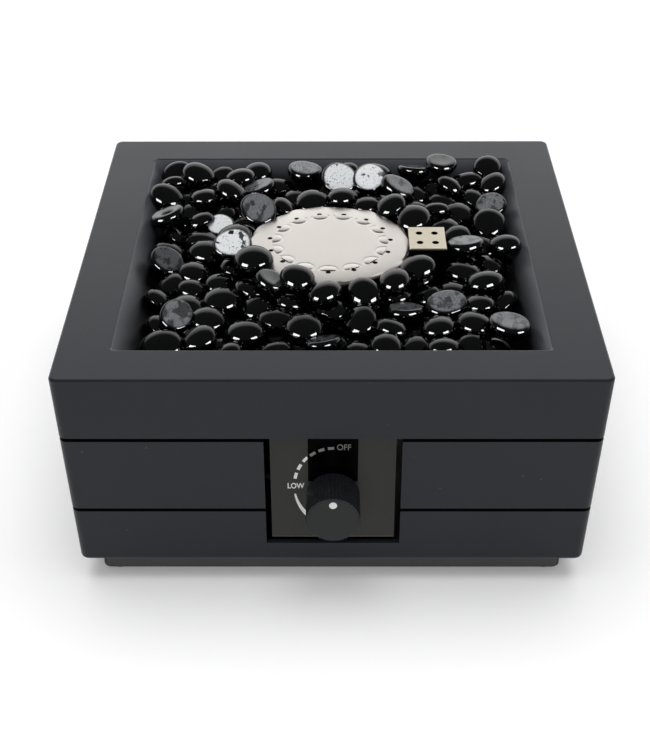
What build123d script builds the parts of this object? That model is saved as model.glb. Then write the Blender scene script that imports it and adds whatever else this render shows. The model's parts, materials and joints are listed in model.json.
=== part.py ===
from build123d import *
import os
from math import cos, pi, radians, sin, sqrt, tan
import numpy as np

# Tabletop gas fire pit: a square drafted casing holds a shallow bowl of fire glass round a
# round burner. A push-and-turn valve behind the front recess feeds the burner, and the gas
# hose screws on to a fitting at the back. Millimetres, +Z up, front towards -Y, z = 0 at the
# surface that the feet stand on, x = y = 0 at the middle of the rim.

# ---------------------------------------------------------------- driving dimensions
rim_width = 350.0               # outside width and depth at the rim
body_height = 150.0             # casing alone, from its lower edge to the rim
side_draft = 2.2                # degrees that each side leans in towards the bottom
corner_radius = 5.5
wall = 4.0
rim_thickness = 4.0
rim_edge_radius = 1.5
lower_edge_radius = 3.5
top_band = 46.9                 # rim to the first groove
middle_band = 58.3              # first groove to the second
groove_width = 2.6
groove_depth = 2.3

rim_flat = 34.5                 # width of the rim round the bowl's opening
opening_corner = 3.5
opening_lip_radius = 2.0
funnel_slope = 40.4             # degrees from vertical
funnel_wall = 3.0
bowl_depth = 29.0               # rim plane to the pan's upper face
ledge_width = 7.0
ledge_thickness = 3.0
sheet = 1.5                     # steel sheet of pan, panel, plinth and bottom plate
pan_clearance = 0.5
pan_screw_margin = 30.0         # screw from the pan's corner, along its edge

foot_proud = 2.0                # foot below the plinth
foot_radius = 9.0
foot_inset = 11.0               # foot centre from the plinth's outside
foot_stem_radius = 2.9
foot_barb_radius = 4.5
foot_barb_height = 2.5
plinth_height = 16.5
plinth_inset = 12.2             # plinth's outside from the casing's lower edge
plinth_flange = 16.0
plinth_corner = 6.0
plate_clearance = 0.6
base_screw_inset = 8.0          # base screw centre from the plinth's outside
base_boss_radius = 4.5
base_boss_height = 14.0
vent_length = 40.0
vent_width = 5.0
vent_pitch = 18.0
vent_rows = 5
vent_offset = 92.0              # middle of each row of vents from the middle

control_x = 1.0                 # knob axis from the middle
knob_drop = 90.5                # rim plane to the knob axis
recess_width = 88.5
recess_height = 87.4            # from the first groove down
panel_side_gap = 3.75           # panel's edge to the recess
panel_bottom_gap = 2.9
panel_inset = 3.0               # panel face behind the front face, at the knob's height
panel_bend_radius = 2.25
panel_shelf = 16.0
panel_foot = 16.0
panel_tab = 14.0                # panel above the recess, behind the top band
panel_screw_margin = 12.5       # screw from the panel's edge
panel_seat_margin = 3.0
panel_seat_gap = 0.5            # seat's edge from the recess and from the panel's top
inlay_width = 32.2
inlay_height = 35.4
inlay_corner = 2.5
inlay_thickness = 0.5

knob_radius = 17.4
knob_length = 26.7              # skirt to the rim round the cap
knob_travel = 3.0               # when pushed
knob_clearance = 1.0            # left behind the knob's skirt when pushed
knob_flutes = 48
flute_depth = 0.8
knob_wall = 2.8
knob_hollow = 7.5
knob_boss_radius = 6.3
knob_boss_gap = 2.5
cap_radius = 15.6
cap_proud = 0.6
cap_recess = 0.4
dot_radius = 2.5
dot_offset = 12.3
dot_proud = 0.2
dot_recess = 0.6

stem_radius = 4.0
stem_in_knob = 17.0
collar_radius = 6.8
collar_thickness = 2.5
spigot_radius = 2.5
spigot_length = 9.0
washer_radius = 7.4
washer_thickness = 1.5
running_clearance = 0.05        # radial, every shaft that turns or slides
stop_clearance = 0.1            # axial, parts that rest against each other
fixed_clearance = 0.1           # radial, fixed shanks and tubes in their holes

valve_flange_width = 34.0
valve_flange_height = 24.0
valve_flange_thickness = 4.0
valve_radius = 13.0
valve_length = 45.0             # from the panel's rear face
neck_radius = 6.9
neck_proud = 1.5
chamber_radius = 8.0
chamber_depth = 39.0            # from the panel's rear face
neck_depth = 7.0
valve_corner = 3.0
valve_screw_offset = 10.5
valve_screw_spare = 0.5         # screw's end short of the flange's rear face
port_offset = 6.5               # gas outlet above the axis, safety magnet below it
magnet_radius = 5.5
magnet_length = 18.0
piezo_size = 13.0
piezo_length = 42.0
piezo_corner = 2.0
piezo_gap = 1.0                 # from the valve's barrel
piezo_bracket_height = 10.0
piezo_tail_radius = 3.25
piezo_tail_length = 4.0
spring_radius = 5.2
spring_wire = 1.2
spring_turns = 5
spring_steps = 9                # straight lengths to each turn

screw_radius = 1.6
screw_head_radius = 3.2
screw_head_height = 2.0
screw_hole_radius = 2.2
screw_bite = 4.0                # thread length in sheet or casting
screw_end = 3.0                 # screw's end beyond its thread
screw_sides = 8

burner_x = -1.0
burner_radius = 57.5
lid_sheet = 0.8
lid_edge_drop = 0.5             # lid's outer flat below the rim plane
lid_step = 1.6                  # raised middle above the outer flat
lid_flat = 11.0                 # width of the outer flat
lid_ramp = 2.0
lid_hem = 2.6
port_count = 15
port_circle = 41.2
port_start = 3.7                # degrees
port_radius = 1.6
hood_radius = 5.75
hood_top_radius = 3.4
hood_height = 1.8
hood_sheet = 0.8
hood_sides = 8
bowl_sheet = 1.0
bowl_floor_radius = 28.0
bowl_rise_radius = 50.0
mixer_radius = 10.5
mixer_wall = 1.0
mixer_bottom_drop = 47.0        # pan's upper face to the tube's lower end
mixer_flange_radius = 16.0
window_width = 8.0
window_height = 12.0
window_gap = 9.0                # tube's lower end to the windows
locknut_size = 17.0             # centre to corner
locknut_height = 6.0
holder_radius = 12.0
holder_height = 20.0
holder_spigot = 7.0
holder_pad_width = 14.0
holder_pad_proud = 1.0          # pad's face beyond the holder's round side
jet_hex = 5.0
jet_hex_height = 4.0
jet_nozzle_radius = 2.5
jet_nozzle_height = 6.0
jet_nozzle_taper = 10.0         # degrees
jet_hole_spare = 1.0
jet_thread_radius = 2.9
jet_thread_length = 5.0
gas_tube_radius = 3.0
gas_tube_bend = 15.0
gas_tube_front_run = 42.0       # level from the valve's rear face
gas_tube_rear_run = 36.0        # level to the jet holder
tube_nut_size = 6.0
tube_nut_length = 8.0
tube_insert = 6.0

shroud_lap = 1.45               # shroud's open side over the burner's edge
shroud_y = -0.5
shroud_length = 26.5
shroud_width = 34.0
shroud_rise = 5.0               # shroud's top above the rim plane
shroud_sheet = 1.0
shroud_edge_radius = 1.2
shroud_hole_radius = 2.4
shroud_hole_pitch_x = 11.0
shroud_hole_pitch_y = 14.0
shroud_foot = 11.0
electrode_y = 5.5
probe_y = -7.5
sensor_offset = 1.7             # sensors to the right of the shroud's middle
ceramic_radius = 2.6
ceramic_above = 20.0
ceramic_below = 22.0
sensor_collar_radius = 4.6
sensor_collar_height = 3.0
electrode_wire_radius = 0.8
electrode_wire_height = 6.0
electrode_reach = 7.0
electrode_lift = 2.0
electrode_bend = 2.0
probe_radius = 2.3
probe_above = 25.0
probe_below = 14.0
igniter_lead_radius = 1.2
igniter_lead_bend = 10.0
igniter_lead_run = 36.0         # straight out of the piezo igniter
probe_lead_radius = 1.0
probe_lead_bend = 8.0
probe_lead_run = 25.0           # straight out of the safety magnet
lead_drop = 50.0                # leads below the pan, on their way to the sensors
lead_side = 12.0                # igniter lead passes this far left of the thermocouple
lead_back = 30.0
wire_sides = 6
tube_sides = 12

inlet_x = -60.0
inlet_z = 45.0
inlet_hex_length = 8.27
inlet_thread_radius = 7.94      # 5/8 inch flare thread
inlet_thread_length = 16.0
inlet_nose = 5.0
inlet_nose_radius = 5.0
inlet_nose_flare = 2.0          # nose's root wider than its end
inlet_bore = 3.0
inlet_hex = 12.0                # centre to corner
inlet_tail_radius = 7.0
inlet_tail_length = 14.0
inlet_nut_height = 5.0
inlet_pipe_radius = 4.0
inlet_pipe_bend = 14.0
inlet_pipe_run = 60.0           # back from the valve while it drops to the fitting
inlet_washer_gap = 0.5          # hexagon from the rear wall
inlet_nut_gap = 1.0             # nut from the wall's inner face
inlet_boss_radius = 7.0
inlet_boss_length = 8.0
inlet_boss_drop = 5.0
rear_vent_count = 7
rear_vent_pitch = 14.0
rear_vent_width = 5.0
rear_vent_height = 26.0
rear_vent_x = 40.0

# fire glass: drops of five sizes, each a flattened dome on a flat base
glass_seed = 21
glass_radii = (9.8, 10.8, 11.6, 12.4, 13.2)
glass_shares = (0.12, 0.20, 0.28, 0.24, 0.16)
glass_flatness = 0.94           # height of a drop as a share of its radius
glass_sides = 6
glass_profile = ((0.86, 0.0), (1.0, 0.36), (0.55, 1.0))     # ring radius and height, as shares
glass_layers = (("lower", 72), ("middle", 66), ("upper", 80))
glass_cell = 1.0                # height map cell
glass_skin = 0.36               # half the least gap between two drops
glass_tilts = (9.0, 18.0, 28.0) # degrees
glass_headings = 6
glass_tries = 9                 # likely places tried for each drop
glass_stride = 3                # height map cells between likely places
glass_scatter = 1.5
glass_likely_share = 0.85       # share of a drop's radius that counts when places are sought
glass_tilt_cost = 1.0           # lift in millimetres that a tilt of one radian must save
glass_burner_gap = 12.0         # drops on the pan stay this far out from the burner bowl's floor
glass_front_drop = 11.0         # surface of the pile below the rim plane, at the front
glass_back_rise = 12.0          # and how much higher it is at the back
glass_mound = 15.0              # rise of the pile against the burner's edge
glass_mound_reach = 28.0        # from the burner's edge to where that rise ends
glass_lap = (190.0, 262.0)      # degrees round the burner where drops may lie on its edge
glass_lap_depth = 10.0
glass_margin = 1.0              # round the burner and the shroud

# ---------------------------------------------------------------- derived levels
plinth_bottom = foot_proud
body_bottom = plinth_bottom + plinth_height
rim_z = body_bottom + body_height
groove_1 = rim_z - top_band
groove_2 = groove_1 - middle_band
plate_top = body_bottom + sheet
pan_top = rim_z - bowl_depth
pan_under = pan_top - sheet
knob_z = rim_z - knob_drop
slope = tan(radians(funnel_slope))
opening_width = rim_width - 2 * rim_flat


def half_width(z):
    """Half the casing's outside width at height z."""
    return rim_width / 2 - (rim_z - z) * tan(radians(side_draft))


def funnel_width(z):
    """Width of the bowl's opening at height z."""
    return opening_width - 2 * (rim_z - z) * slope


def square(z, width, radius=0.0):
    """A square on a level plane, its corners rounded where a radius is given."""
    with BuildSketch(Plane.XY.offset(z)) as profile:
        if radius:
            RectangleRounded(width, width, radius)
        else:
            Rectangle(width, width)
    return profile.sketch


def facing_front(y, x=control_x, z=knob_z):
    """A plane that looks out of the front, its local Y pointing up."""
    return Plane(origin=(x, y, z), x_dir=(1, 0, 0), z_dir=(0, -1, 0))


def facing_back(y, x, z):
    """A plane that looks out of the back, its local Y pointing up."""
    return Plane(origin=(x, y, z), x_dir=(-1, 0, 0), z_dir=(0, 1, 0))


def drill(radius, *places):
    """Screw holes in the open sketch, eight-sided as the screws are."""
    with Locations(*places):
        RegularPolygon(radius, screw_sides)


def save(builder, name):
    """Label a finished piece and write it to its own file."""
    builder.part.label = name
    export_step(builder.part, f"parts/{name}.step")


os.makedirs("parts", exist_ok=True)

front_face = -half_width(knob_z)
panel_face = front_face + panel_inset
panel_rear = panel_face + sheet
plinth_width = 2 * (half_width(body_bottom) - plinth_inset)
base_screws = plinth_width / 2 - base_screw_inset
base_screw_offset = plinth_width / 3
base_screw_places = [
    (side * base_screws, along) for side in (-1, 1) for along in (-base_screw_offset, base_screw_offset)
]
panel_width = recess_width - 2 * panel_side_gap
panel_height = recess_height - panel_bottom_gap
panel_screw_span = panel_width - 2 * panel_screw_margin
panel_foot_y = panel_rear + panel_shelf + panel_foot / 2
panel_foot_places = [(control_x + side * panel_screw_span / 2, panel_foot_y) for side in (-1, 1)]
across_panel = [(-panel_screw_span / 2, 0), (panel_screw_span / 2, 0)]
recess_bottom = groove_1 - recess_height
panel_bottom = groove_1 - panel_height
panel_top = groove_1 + panel_tab
panel_screw_z = groove_1 + panel_tab / 2
seat_inner = half_width(panel_top)

# ---------------------------------------------------------------- casing
outline = [
    (body_bottom, 0.0),
    (groove_2 - groove_width / 2, 0.0),
    (groove_2, groove_depth),
    (groove_2 + groove_width / 2, 0.0),
    (groove_1 - groove_width / 2, 0.0),
    (groove_1, groove_depth),
    (groove_1 + groove_width / 2, 0.0),
    (rim_z, 0.0),
]
funnel_skin = funnel_wall / cos(radians(funnel_slope))
ledge_top = pan_under
ledge_bottom = ledge_top - ledge_thickness
pan_width = funnel_width(ledge_top) - 2 * pan_clearance
pan_screw_side = pan_width / 2 - ledge_width / 2
pan_screw_along = pan_width / 2 - pan_screw_margin
pan_screw_places = [(x * pan_screw_side, y * pan_screw_along) for x in (-1, 1) for y in (-1, 1)]
screw_hole = screw_radius + fixed_clearance

with BuildPart() as casing:
    loft([square(level, 2 * (half_width(level) - inset), corner_radius - inset)
          for level, inset in outline], ruled=True)
    fillet(casing.faces().sort_by(Axis.Z)[-1].edges(), rim_edge_radius)
    fillet(casing.faces().sort_by(Axis.Z)[0].edges(), lower_edge_radius)
    # the hollow below the rim
    loft([square(level, 2 * (half_width(level) - wall))
          for level in (body_bottom, rim_z - rim_thickness)], ruled=True, mode=Mode.SUBTRACT)
    # the bowl's sloping wall and the ledge that carries the pan
    loft([square(level, funnel_width(level) + 2 * funnel_skin)
          for level in (ledge_bottom, rim_z - rim_thickness / 2)], ruled=True)
    loft([square(level, funnel_width(level), opening_corner)
          for level in (ledge_top, rim_z)], ruled=True, mode=Mode.SUBTRACT)
    ledge_opening = square(ledge_bottom, funnel_width(ledge_top) - 2 * ledge_width)
    extrude(ledge_opening, amount=ledge_thickness, mode=Mode.SUBTRACT)
    with BuildSketch(Plane.XY.offset(ledge_bottom)):
        drill(screw_hole, *pan_screw_places)
    extrude(amount=ledge_thickness, mode=Mode.SUBTRACT)
    lip = casing.faces().filter_by(Axis.Z).sort_by(Axis.Z)[-1].inner_wires()[0]
    fillet(lip.edges(), opening_lip_radius)
    # blocks for the base screws, standing in from the side walls
    boss_outer = half_width(body_bottom) - wall / 2
    boss_inner = base_screws - base_boss_radius
    for side in (-1, 1):
        with BuildSketch(Plane.XY.offset(plate_top)):
            with Locations((side * (boss_inner + boss_outer) / 2, 0)):
                with GridLocations(1, 2 * base_screw_offset, 1, 2):
                    Rectangle(boss_outer - boss_inner, 2 * base_boss_radius)
        extrude(amount=base_boss_height)
    with BuildSketch(Plane.XY.offset(plate_top)):
        drill(screw_hole, *base_screw_places)
    extrude(amount=base_boss_height - screw_bite / 2, mode=Mode.SUBTRACT)
    # the panel's seat behind the top band
    with BuildSketch(facing_front(panel_face, z=panel_screw_z)):
        Rectangle(panel_width - 2 * panel_seat_margin, panel_tab - 2 * panel_seat_gap)
    extrude(amount=seat_inner - wall / 2 + panel_face)
    with BuildSketch(facing_front(panel_face, z=panel_screw_z)):
        drill(screw_hole, *across_panel)
    extrude(amount=screw_bite, mode=Mode.SUBTRACT)
    # the recess for the control panel
    with BuildSketch(facing_front(panel_face + wall, z=groove_1 - recess_height / 2)):
        Rectangle(recess_width, recess_height)
    extrude(amount=2 * wall + panel_inset, mode=Mode.SUBTRACT)
    # gas inlet hole and air slots at the back
    with BuildSketch(facing_back(half_width(inlet_z) - 2 * wall, inlet_x, inlet_z)):
        Circle(inlet_tail_radius + fixed_clearance)
    extrude(amount=3 * wall, mode=Mode.SUBTRACT)
    with BuildSketch(facing_back(half_width(inlet_z) - 2 * wall, rear_vent_x, groove_2 + middle_band / 2)):
        with GridLocations(rear_vent_pitch, 1, rear_vent_count, 1):
            Rectangle(rear_vent_width, rear_vent_height)
    extrude(amount=4 * wall, mode=Mode.SUBTRACT)
save(casing, "casing")

# ---------------------------------------------------------------- base
with BuildPart() as bottom_plate:
    extrude(square(body_bottom, 2 * (half_width(body_bottom) - wall - plate_clearance)), amount=sheet)
    with BuildSketch(Plane.XY.offset(body_bottom)):
        drill(screw_hole_radius, *base_screw_places)
        with Locations((-vent_offset, 0), (vent_offset, 0)):
            with GridLocations(1, vent_pitch, 1, vent_rows):
                Rectangle(vent_length, vent_width)
        drill(screw_hole, *panel_foot_places)
    extrude(amount=sheet, mode=Mode.SUBTRACT)
save(bottom_plate, "bottom_plate")

foot_place = plinth_width / 2 - foot_inset
with BuildPart() as plinth:
    extrude(square(plinth_bottom, plinth_width, plinth_corner), amount=plinth_height)
    extrude(square(plinth_bottom + sheet, plinth_width - 2 * sheet),
            amount=plinth_height - 2 * sheet, mode=Mode.SUBTRACT)
    extrude(square(plinth_bottom, plinth_width - 2 * plinth_flange),
            amount=plinth_height, mode=Mode.SUBTRACT)
    with BuildSketch(Plane.XY.offset(plinth_bottom)):
        with GridLocations(2 * foot_place, 2 * foot_place, 2, 2):
            RegularPolygon(foot_stem_radius + fixed_clearance, screw_sides)
        with Locations(*base_screw_places):
            Rectangle(2 * (plinth_flange - base_screw_inset), 2 * screw_hole_radius + screw_head_radius)
    extrude(amount=sheet, mode=Mode.SUBTRACT)
    with BuildSketch(Plane.XY.offset(body_bottom - sheet)):
        drill(screw_hole_radius, *base_screw_places)
    extrude(amount=sheet, mode=Mode.SUBTRACT)
save(plinth, "plinth")

with BuildPart() as rubber_feet:
    with BuildSketch(Plane.XY):
        with GridLocations(2 * foot_place, 2 * foot_place, 2, 2):
            Circle(foot_radius)
    extrude(amount=foot_proud)
    with BuildSketch(Plane.XY.offset(foot_proud)):
        with GridLocations(2 * foot_place, 2 * foot_place, 2, 2):
            RegularPolygon(foot_stem_radius, screw_sides)
    extrude(amount=sheet)
    with BuildSketch(Plane.XY.offset(foot_proud + sheet)):
        with GridLocations(2 * foot_place, 2 * foot_place, 2, 2):
            RegularPolygon(foot_barb_radius, screw_sides)
    extrude(amount=foot_barb_height)
save(rubber_feet, "rubber_feet")


def add_screw(plane, places, shank_length):
    """Add pan-head screws to the open part: heads on the plane, shanks behind it."""
    with BuildSketch(plane) as heads:
        with Locations(*places):
            RegularPolygon(screw_head_radius, screw_sides)
    extrude(heads.sketch, amount=screw_head_height)
    with BuildSketch(plane) as shanks:
        with Locations(*places):
            RegularPolygon(screw_radius, screw_sides)
    extrude(shanks.sketch, amount=-shank_length)


looking_down = Plane(origin=(0, 0, 0), x_dir=(1, 0, 0), z_dir=(0, 0, -1))

with BuildPart() as base_screw_set:
    under_flange = looking_down.offset(-(body_bottom - sheet))
    add_screw(under_flange, [(x, -y) for x, y in base_screw_places], 2 * sheet + screw_bite + screw_end)
save(base_screw_set, "base_screws")

# ---------------------------------------------------------------- control panel
panel_line = panel_face + sheet / 2
leg_line = panel_line + panel_shelf
foot_line = plate_top + sheet / 2
across_valve = [(-valve_screw_offset, 0), (valve_screw_offset, 0)]
with BuildPart() as control_panel:
    with BuildSketch(Plane.YZ.offset(control_x - panel_width / 2)):
        with BuildLine():
            FilletPolyline(
                (panel_line, panel_top),
                (panel_line, panel_bottom + sheet / 2),
                (leg_line, panel_bottom + sheet / 2),
                (leg_line, foot_line),
                (leg_line + panel_foot, foot_line),
                radius=panel_bend_radius,
            )
        trace(line_width=sheet)
    extrude(amount=panel_width)
    with BuildSketch(facing_front(panel_rear)):
        Circle(neck_radius + 3 * fixed_clearance)
        drill(screw_hole, *across_valve)
        with Locations((0, panel_screw_z - knob_z)):
            drill(screw_hole_radius, *across_panel)
    extrude(amount=sheet, mode=Mode.SUBTRACT)
    with BuildSketch(Plane.XY.offset(plate_top)):
        drill(screw_hole_radius, *panel_foot_places)
    extrude(amount=sheet, mode=Mode.SUBTRACT)
save(control_panel, "control_panel")

with BuildPart() as panel_screw_set:
    behind = facing_back(panel_rear, control_x, panel_screw_z)
    add_screw(behind, across_panel, sheet + screw_bite - stop_clearance)
    add_screw(Plane.XY.offset(plate_top + sheet), panel_foot_places, 2 * sheet)
save(panel_screw_set, "panel_screws")

inlay_top = groove_1 - groove_width / 4
with BuildPart() as dial_inlay:
    with BuildSketch(facing_front(panel_face, z=inlay_top - inlay_height / 2)):
        Rectangle(inlay_width, inlay_height)
    extrude(amount=inlay_thickness)
    fillet(dial_inlay.edges().filter_by(Axis.Y).group_by(Axis.Z)[-1], inlay_corner)
save(dial_inlay, "dial_inlay")

# ---------------------------------------------------------------- knob
knob_rear = panel_face - knob_travel - knob_clearance
knob_face = knob_rear - knob_length
cap_face = knob_face - cap_proud
stem_tip = knob_rear - stem_in_knob
flute_points = [
    ((knob_radius - flute_depth * (step % 2)) * cos(pi * step / knob_flutes),
     (knob_radius - flute_depth * (step % 2)) * sin(pi * step / knob_flutes))
    for step in range(2 * knob_flutes)
]

with BuildPart() as knob:
    with BuildSketch(facing_front(knob_rear)):
        with BuildLine():
            Polyline(*flute_points, close=True)
        make_face()
    extrude(amount=knob_length)
    with BuildSketch(facing_front(knob_rear)):
        Circle(knob_radius - knob_wall)
    extrude(amount=knob_hollow, mode=Mode.SUBTRACT)
    with BuildSketch(facing_front(knob_rear - knob_boss_gap)):
        Circle(knob_boss_radius)
    extrude(amount=knob_hollow - knob_boss_gap)
    with BuildSketch(facing_front(knob_rear - knob_boss_gap)):
        Circle(stem_radius + running_clearance)
    extrude(amount=stem_in_knob - knob_boss_gap + stop_clearance, mode=Mode.SUBTRACT)
    with BuildSketch(facing_front(knob_face + cap_recess)):
        Circle(cap_radius + fixed_clearance)
    extrude(amount=cap_recess, mode=Mode.SUBTRACT)
save(knob, "knob")

with BuildPart() as knob_cap:
    with BuildSketch(facing_front(knob_face + cap_recess)):
        Circle(cap_radius)
    extrude(amount=cap_recess + cap_proud)
    chamfer(knob_cap.faces().sort_by(Axis.Y)[0].edges(), cap_proud / 2)
    with BuildSketch(facing_front(cap_face, z=knob_z + dot_offset)):
        Circle(dot_radius + fixed_clearance / 2)
    extrude(amount=-dot_recess, mode=Mode.SUBTRACT)
save(knob_cap, "knob_cap")

with BuildPart() as knob_dot:
    with BuildSketch(facing_front(cap_face + dot_recess, z=knob_z + dot_offset)):
        Circle(dot_radius)
    extrude(amount=dot_recess + dot_proud)
save(knob_dot, "knob_dot")

# ---------------------------------------------------------------- valve
valve_rear = panel_rear + valve_length
chamber_front = panel_rear + neck_depth
chamber_rear = panel_rear + chamber_depth
outlet_z = knob_z + port_offset
magnet_z = knob_z - port_offset
inlet_boss_z = knob_z - inlet_boss_drop
inlet_boss_y = panel_rear + valve_length / 2
boss_end = control_x - valve_radius - inlet_boss_length
piezo_side = control_x + valve_radius + piezo_gap
piezo_x = piezo_side + piezo_size / 2
piezo_rear = panel_rear + valve_flange_thickness + piezo_length

with BuildPart() as valve_body:
    with BuildSketch(facing_front(panel_rear + valve_flange_thickness)):
        RectangleRounded(valve_flange_width, valve_flange_height, valve_corner)
    extrude(amount=valve_flange_thickness)
    with BuildSketch(facing_front(valve_rear)):
        Circle(valve_radius)
    extrude(amount=valve_length - valve_flange_thickness)
    with BuildSketch(facing_front(panel_rear)):
        Circle(neck_radius)
    extrude(amount=sheet + neck_proud)
    with BuildSketch(Plane(origin=(boss_end, inlet_boss_y, inlet_boss_z), x_dir=(0, -1, 0), z_dir=(1, 0, 0))):
        Circle(inlet_boss_radius)
    extrude(amount=inlet_boss_length + valve_radius / 2)
    with BuildSketch(Plane(origin=(piezo_side, inlet_boss_y, knob_z), x_dir=(0, -1, 0), z_dir=(-1, 0, 0))):
        Rectangle(piezo_length / 2, piezo_bracket_height)
    extrude(amount=valve_radius / 2)
    with BuildSketch(facing_front(chamber_rear)):
        Circle(chamber_radius)
    extrude(amount=chamber_depth - neck_depth, mode=Mode.SUBTRACT)
    with BuildSketch(facing_front(chamber_front)):
        Circle(stem_radius + running_clearance)
    extrude(amount=neck_depth + sheet + neck_proud, mode=Mode.SUBTRACT)
    with BuildSketch(facing_front(panel_rear + valve_flange_thickness)):
        drill(screw_hole, *across_valve)
    extrude(amount=valve_flange_thickness, mode=Mode.SUBTRACT)
    with BuildSketch(Plane(origin=(boss_end, inlet_boss_y, inlet_boss_z), x_dir=(0, -1, 0), z_dir=(1, 0, 0))):
        Circle(inlet_pipe_radius + fixed_clearance)
    extrude(amount=inlet_boss_length, mode=Mode.SUBTRACT)
save(valve_body, "valve_body")

with BuildPart() as valve_screws:
    add_screw(facing_front(panel_face), across_valve, sheet + valve_flange_thickness - valve_screw_spare)
save(valve_screws, "valve_screws")

collar_front = chamber_front + stop_clearance
collar_rear = collar_front + collar_thickness
with BuildPart() as valve_stem:
    with BuildSketch(facing_front(collar_front)):
        Circle(stem_radius)
    extrude(amount=collar_front - stem_tip)
    with BuildSketch(facing_front(collar_rear)):
        Circle(collar_radius)
    extrude(amount=collar_thickness)
    with BuildSketch(facing_front(collar_rear + spigot_length)):
        Circle(spigot_radius)
    extrude(amount=spigot_length)
save(valve_stem, "valve_stem")

washer_front = collar_rear + stop_clearance
washer_rear = washer_front + washer_thickness
with BuildPart() as thrust_washer:
    with BuildSketch(facing_front(washer_rear)):
        Circle(washer_radius)
        Circle(spigot_radius + running_clearance, mode=Mode.SUBTRACT)
    extrude(amount=washer_thickness)
save(thrust_washer, "thrust_washer")

spring_front = washer_rear + stop_clearance + spring_wire
spring_rear = chamber_rear - stop_clearance - spring_wire
spring_points = [
    (control_x + spring_radius * cos(2 * pi * step / spring_steps),
     spring_front + (spring_rear - spring_front) * step / (spring_turns * spring_steps),
     knob_z + spring_radius * sin(2 * pi * step / spring_steps))
    for step in range(spring_turns * spring_steps + 1)
]
with BuildPart() as return_spring:
    with BuildLine() as coil:
        Polyline(*spring_points)
    with BuildSketch(Plane(origin=coil.line @ 0, z_dir=coil.line % 0)):
        Rectangle(spring_wire, spring_wire)
    sweep(transition=Transition.RIGHT)
save(return_spring, "return_spring")

with BuildPart() as piezo_igniter:
    with BuildSketch(facing_front(piezo_rear, x=piezo_x)):
        RectangleRounded(piezo_size, piezo_size, piezo_corner)
    extrude(amount=piezo_length)
    with BuildSketch(facing_back(piezo_rear, piezo_x, knob_z)):
        Circle(piezo_tail_radius)
    extrude(amount=piezo_tail_length)
save(piezo_igniter, "piezo_igniter")

with BuildPart() as safety_magnet:
    with BuildSketch(facing_back(valve_rear, control_x, magnet_z)):
        Circle(magnet_radius)
    extrude(amount=magnet_length)
    with BuildSketch(facing_back(valve_rear + magnet_length, control_x, magnet_z)):
        RegularPolygon(magnet_radius, 6)
    extrude(amount=tube_insert)
save(safety_magnet, "safety_magnet")

# ---------------------------------------------------------------- burner
mixer_bottom = pan_top - mixer_bottom_drop
lid_flat_top = rim_z - lid_edge_drop
lid_middle_top = lid_flat_top + lid_step
bowl_flange_top = lid_flat_top - lid_sheet
burner_axis = Axis((burner_x, 0, 0), (0, 0, 1))
burner_section = Plane(origin=(burner_x, 0, 0), x_dir=(1, 0, 0), z_dir=(0, -1, 0))

shroud_x = burner_x + burner_radius - shroud_lap + shroud_length / 2
shroud_right = shroud_x + shroud_length / 2
shroud_screw_place = (shroud_right + shroud_foot / 2, shroud_y)
sensor_x = shroud_x + sensor_offset
with BuildPart() as burner_pan:
    extrude(square(pan_under, pan_width, opening_corner), amount=sheet)
    with BuildSketch(Plane.XY.offset(pan_under)):
        with Locations((burner_x, 0)):
            Circle(mixer_radius + 4 * fixed_clearance)
        with Locations((sensor_x, electrode_y)):
            Circle(ceramic_radius + fixed_clearance)
        with Locations((sensor_x, probe_y)):
            Circle(probe_radius + fixed_clearance)
        drill(screw_hole, shroud_screw_place, *pan_screw_places)
    extrude(amount=sheet, mode=Mode.SUBTRACT)
save(burner_pan, "burner_pan")

with BuildPart() as pan_screws:
    add_screw(looking_down.offset(-ledge_bottom), pan_screw_places,
              ledge_thickness + sheet - stop_clearance)
save(pan_screws, "pan_screws")


def half_dome(base_z, shrink):
    """The louvre over one burner port, at the middle, its straight side and mouth outwards."""
    with BuildPart() as dome:
        for level, radius in ((base_z, hood_radius), (base_z + hood_height, hood_top_radius)):
            with BuildSketch(Plane.XY.offset(level)):
                RegularPolygon(radius - shrink, hood_sides, rotation=90)
                Rectangle(2 * radius, 4 * radius, align=(Align.MIN, Align.CENTER), mode=Mode.SUBTRACT)
        loft(ruled=True)
    return dome.part


hood_outside = half_dome(lid_middle_top, 0)
hood_inside = half_dome(lid_middle_top - lid_sheet, hood_sheet)

flat_inner = burner_radius - lid_flat
with BuildPart() as burner_lid:
    with BuildSketch(burner_section):
        with BuildLine():
            Polyline(
                (0, lid_middle_top),
                (flat_inner - lid_ramp, lid_middle_top),
                (flat_inner, lid_flat_top),
                (burner_radius, lid_flat_top),
                (burner_radius, lid_flat_top - lid_hem),
                (burner_radius - lid_sheet, lid_flat_top - lid_hem),
                (burner_radius - lid_sheet, lid_flat_top - lid_sheet),
                (flat_inner, lid_flat_top - lid_sheet),
                (flat_inner - lid_ramp, lid_middle_top - lid_sheet),
                (0, lid_middle_top - lid_sheet),
                close=True,
            )
        make_face()
    revolve(axis=burner_axis)
    with Locations((burner_x, 0)):
        with PolarLocations(port_circle, port_count, start_angle=port_start):
            add(hood_outside)
            add(hood_inside, mode=Mode.SUBTRACT)
    with BuildSketch(Plane.XY.offset(lid_middle_top)):
        with Locations((burner_x, 0)):
            with PolarLocations(port_circle, port_count, start_angle=port_start):
                RegularPolygon(port_radius, 6)
    extrude(amount=-2 * lid_sheet, mode=Mode.SUBTRACT)
save(burner_lid, "burner_lid")

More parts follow.
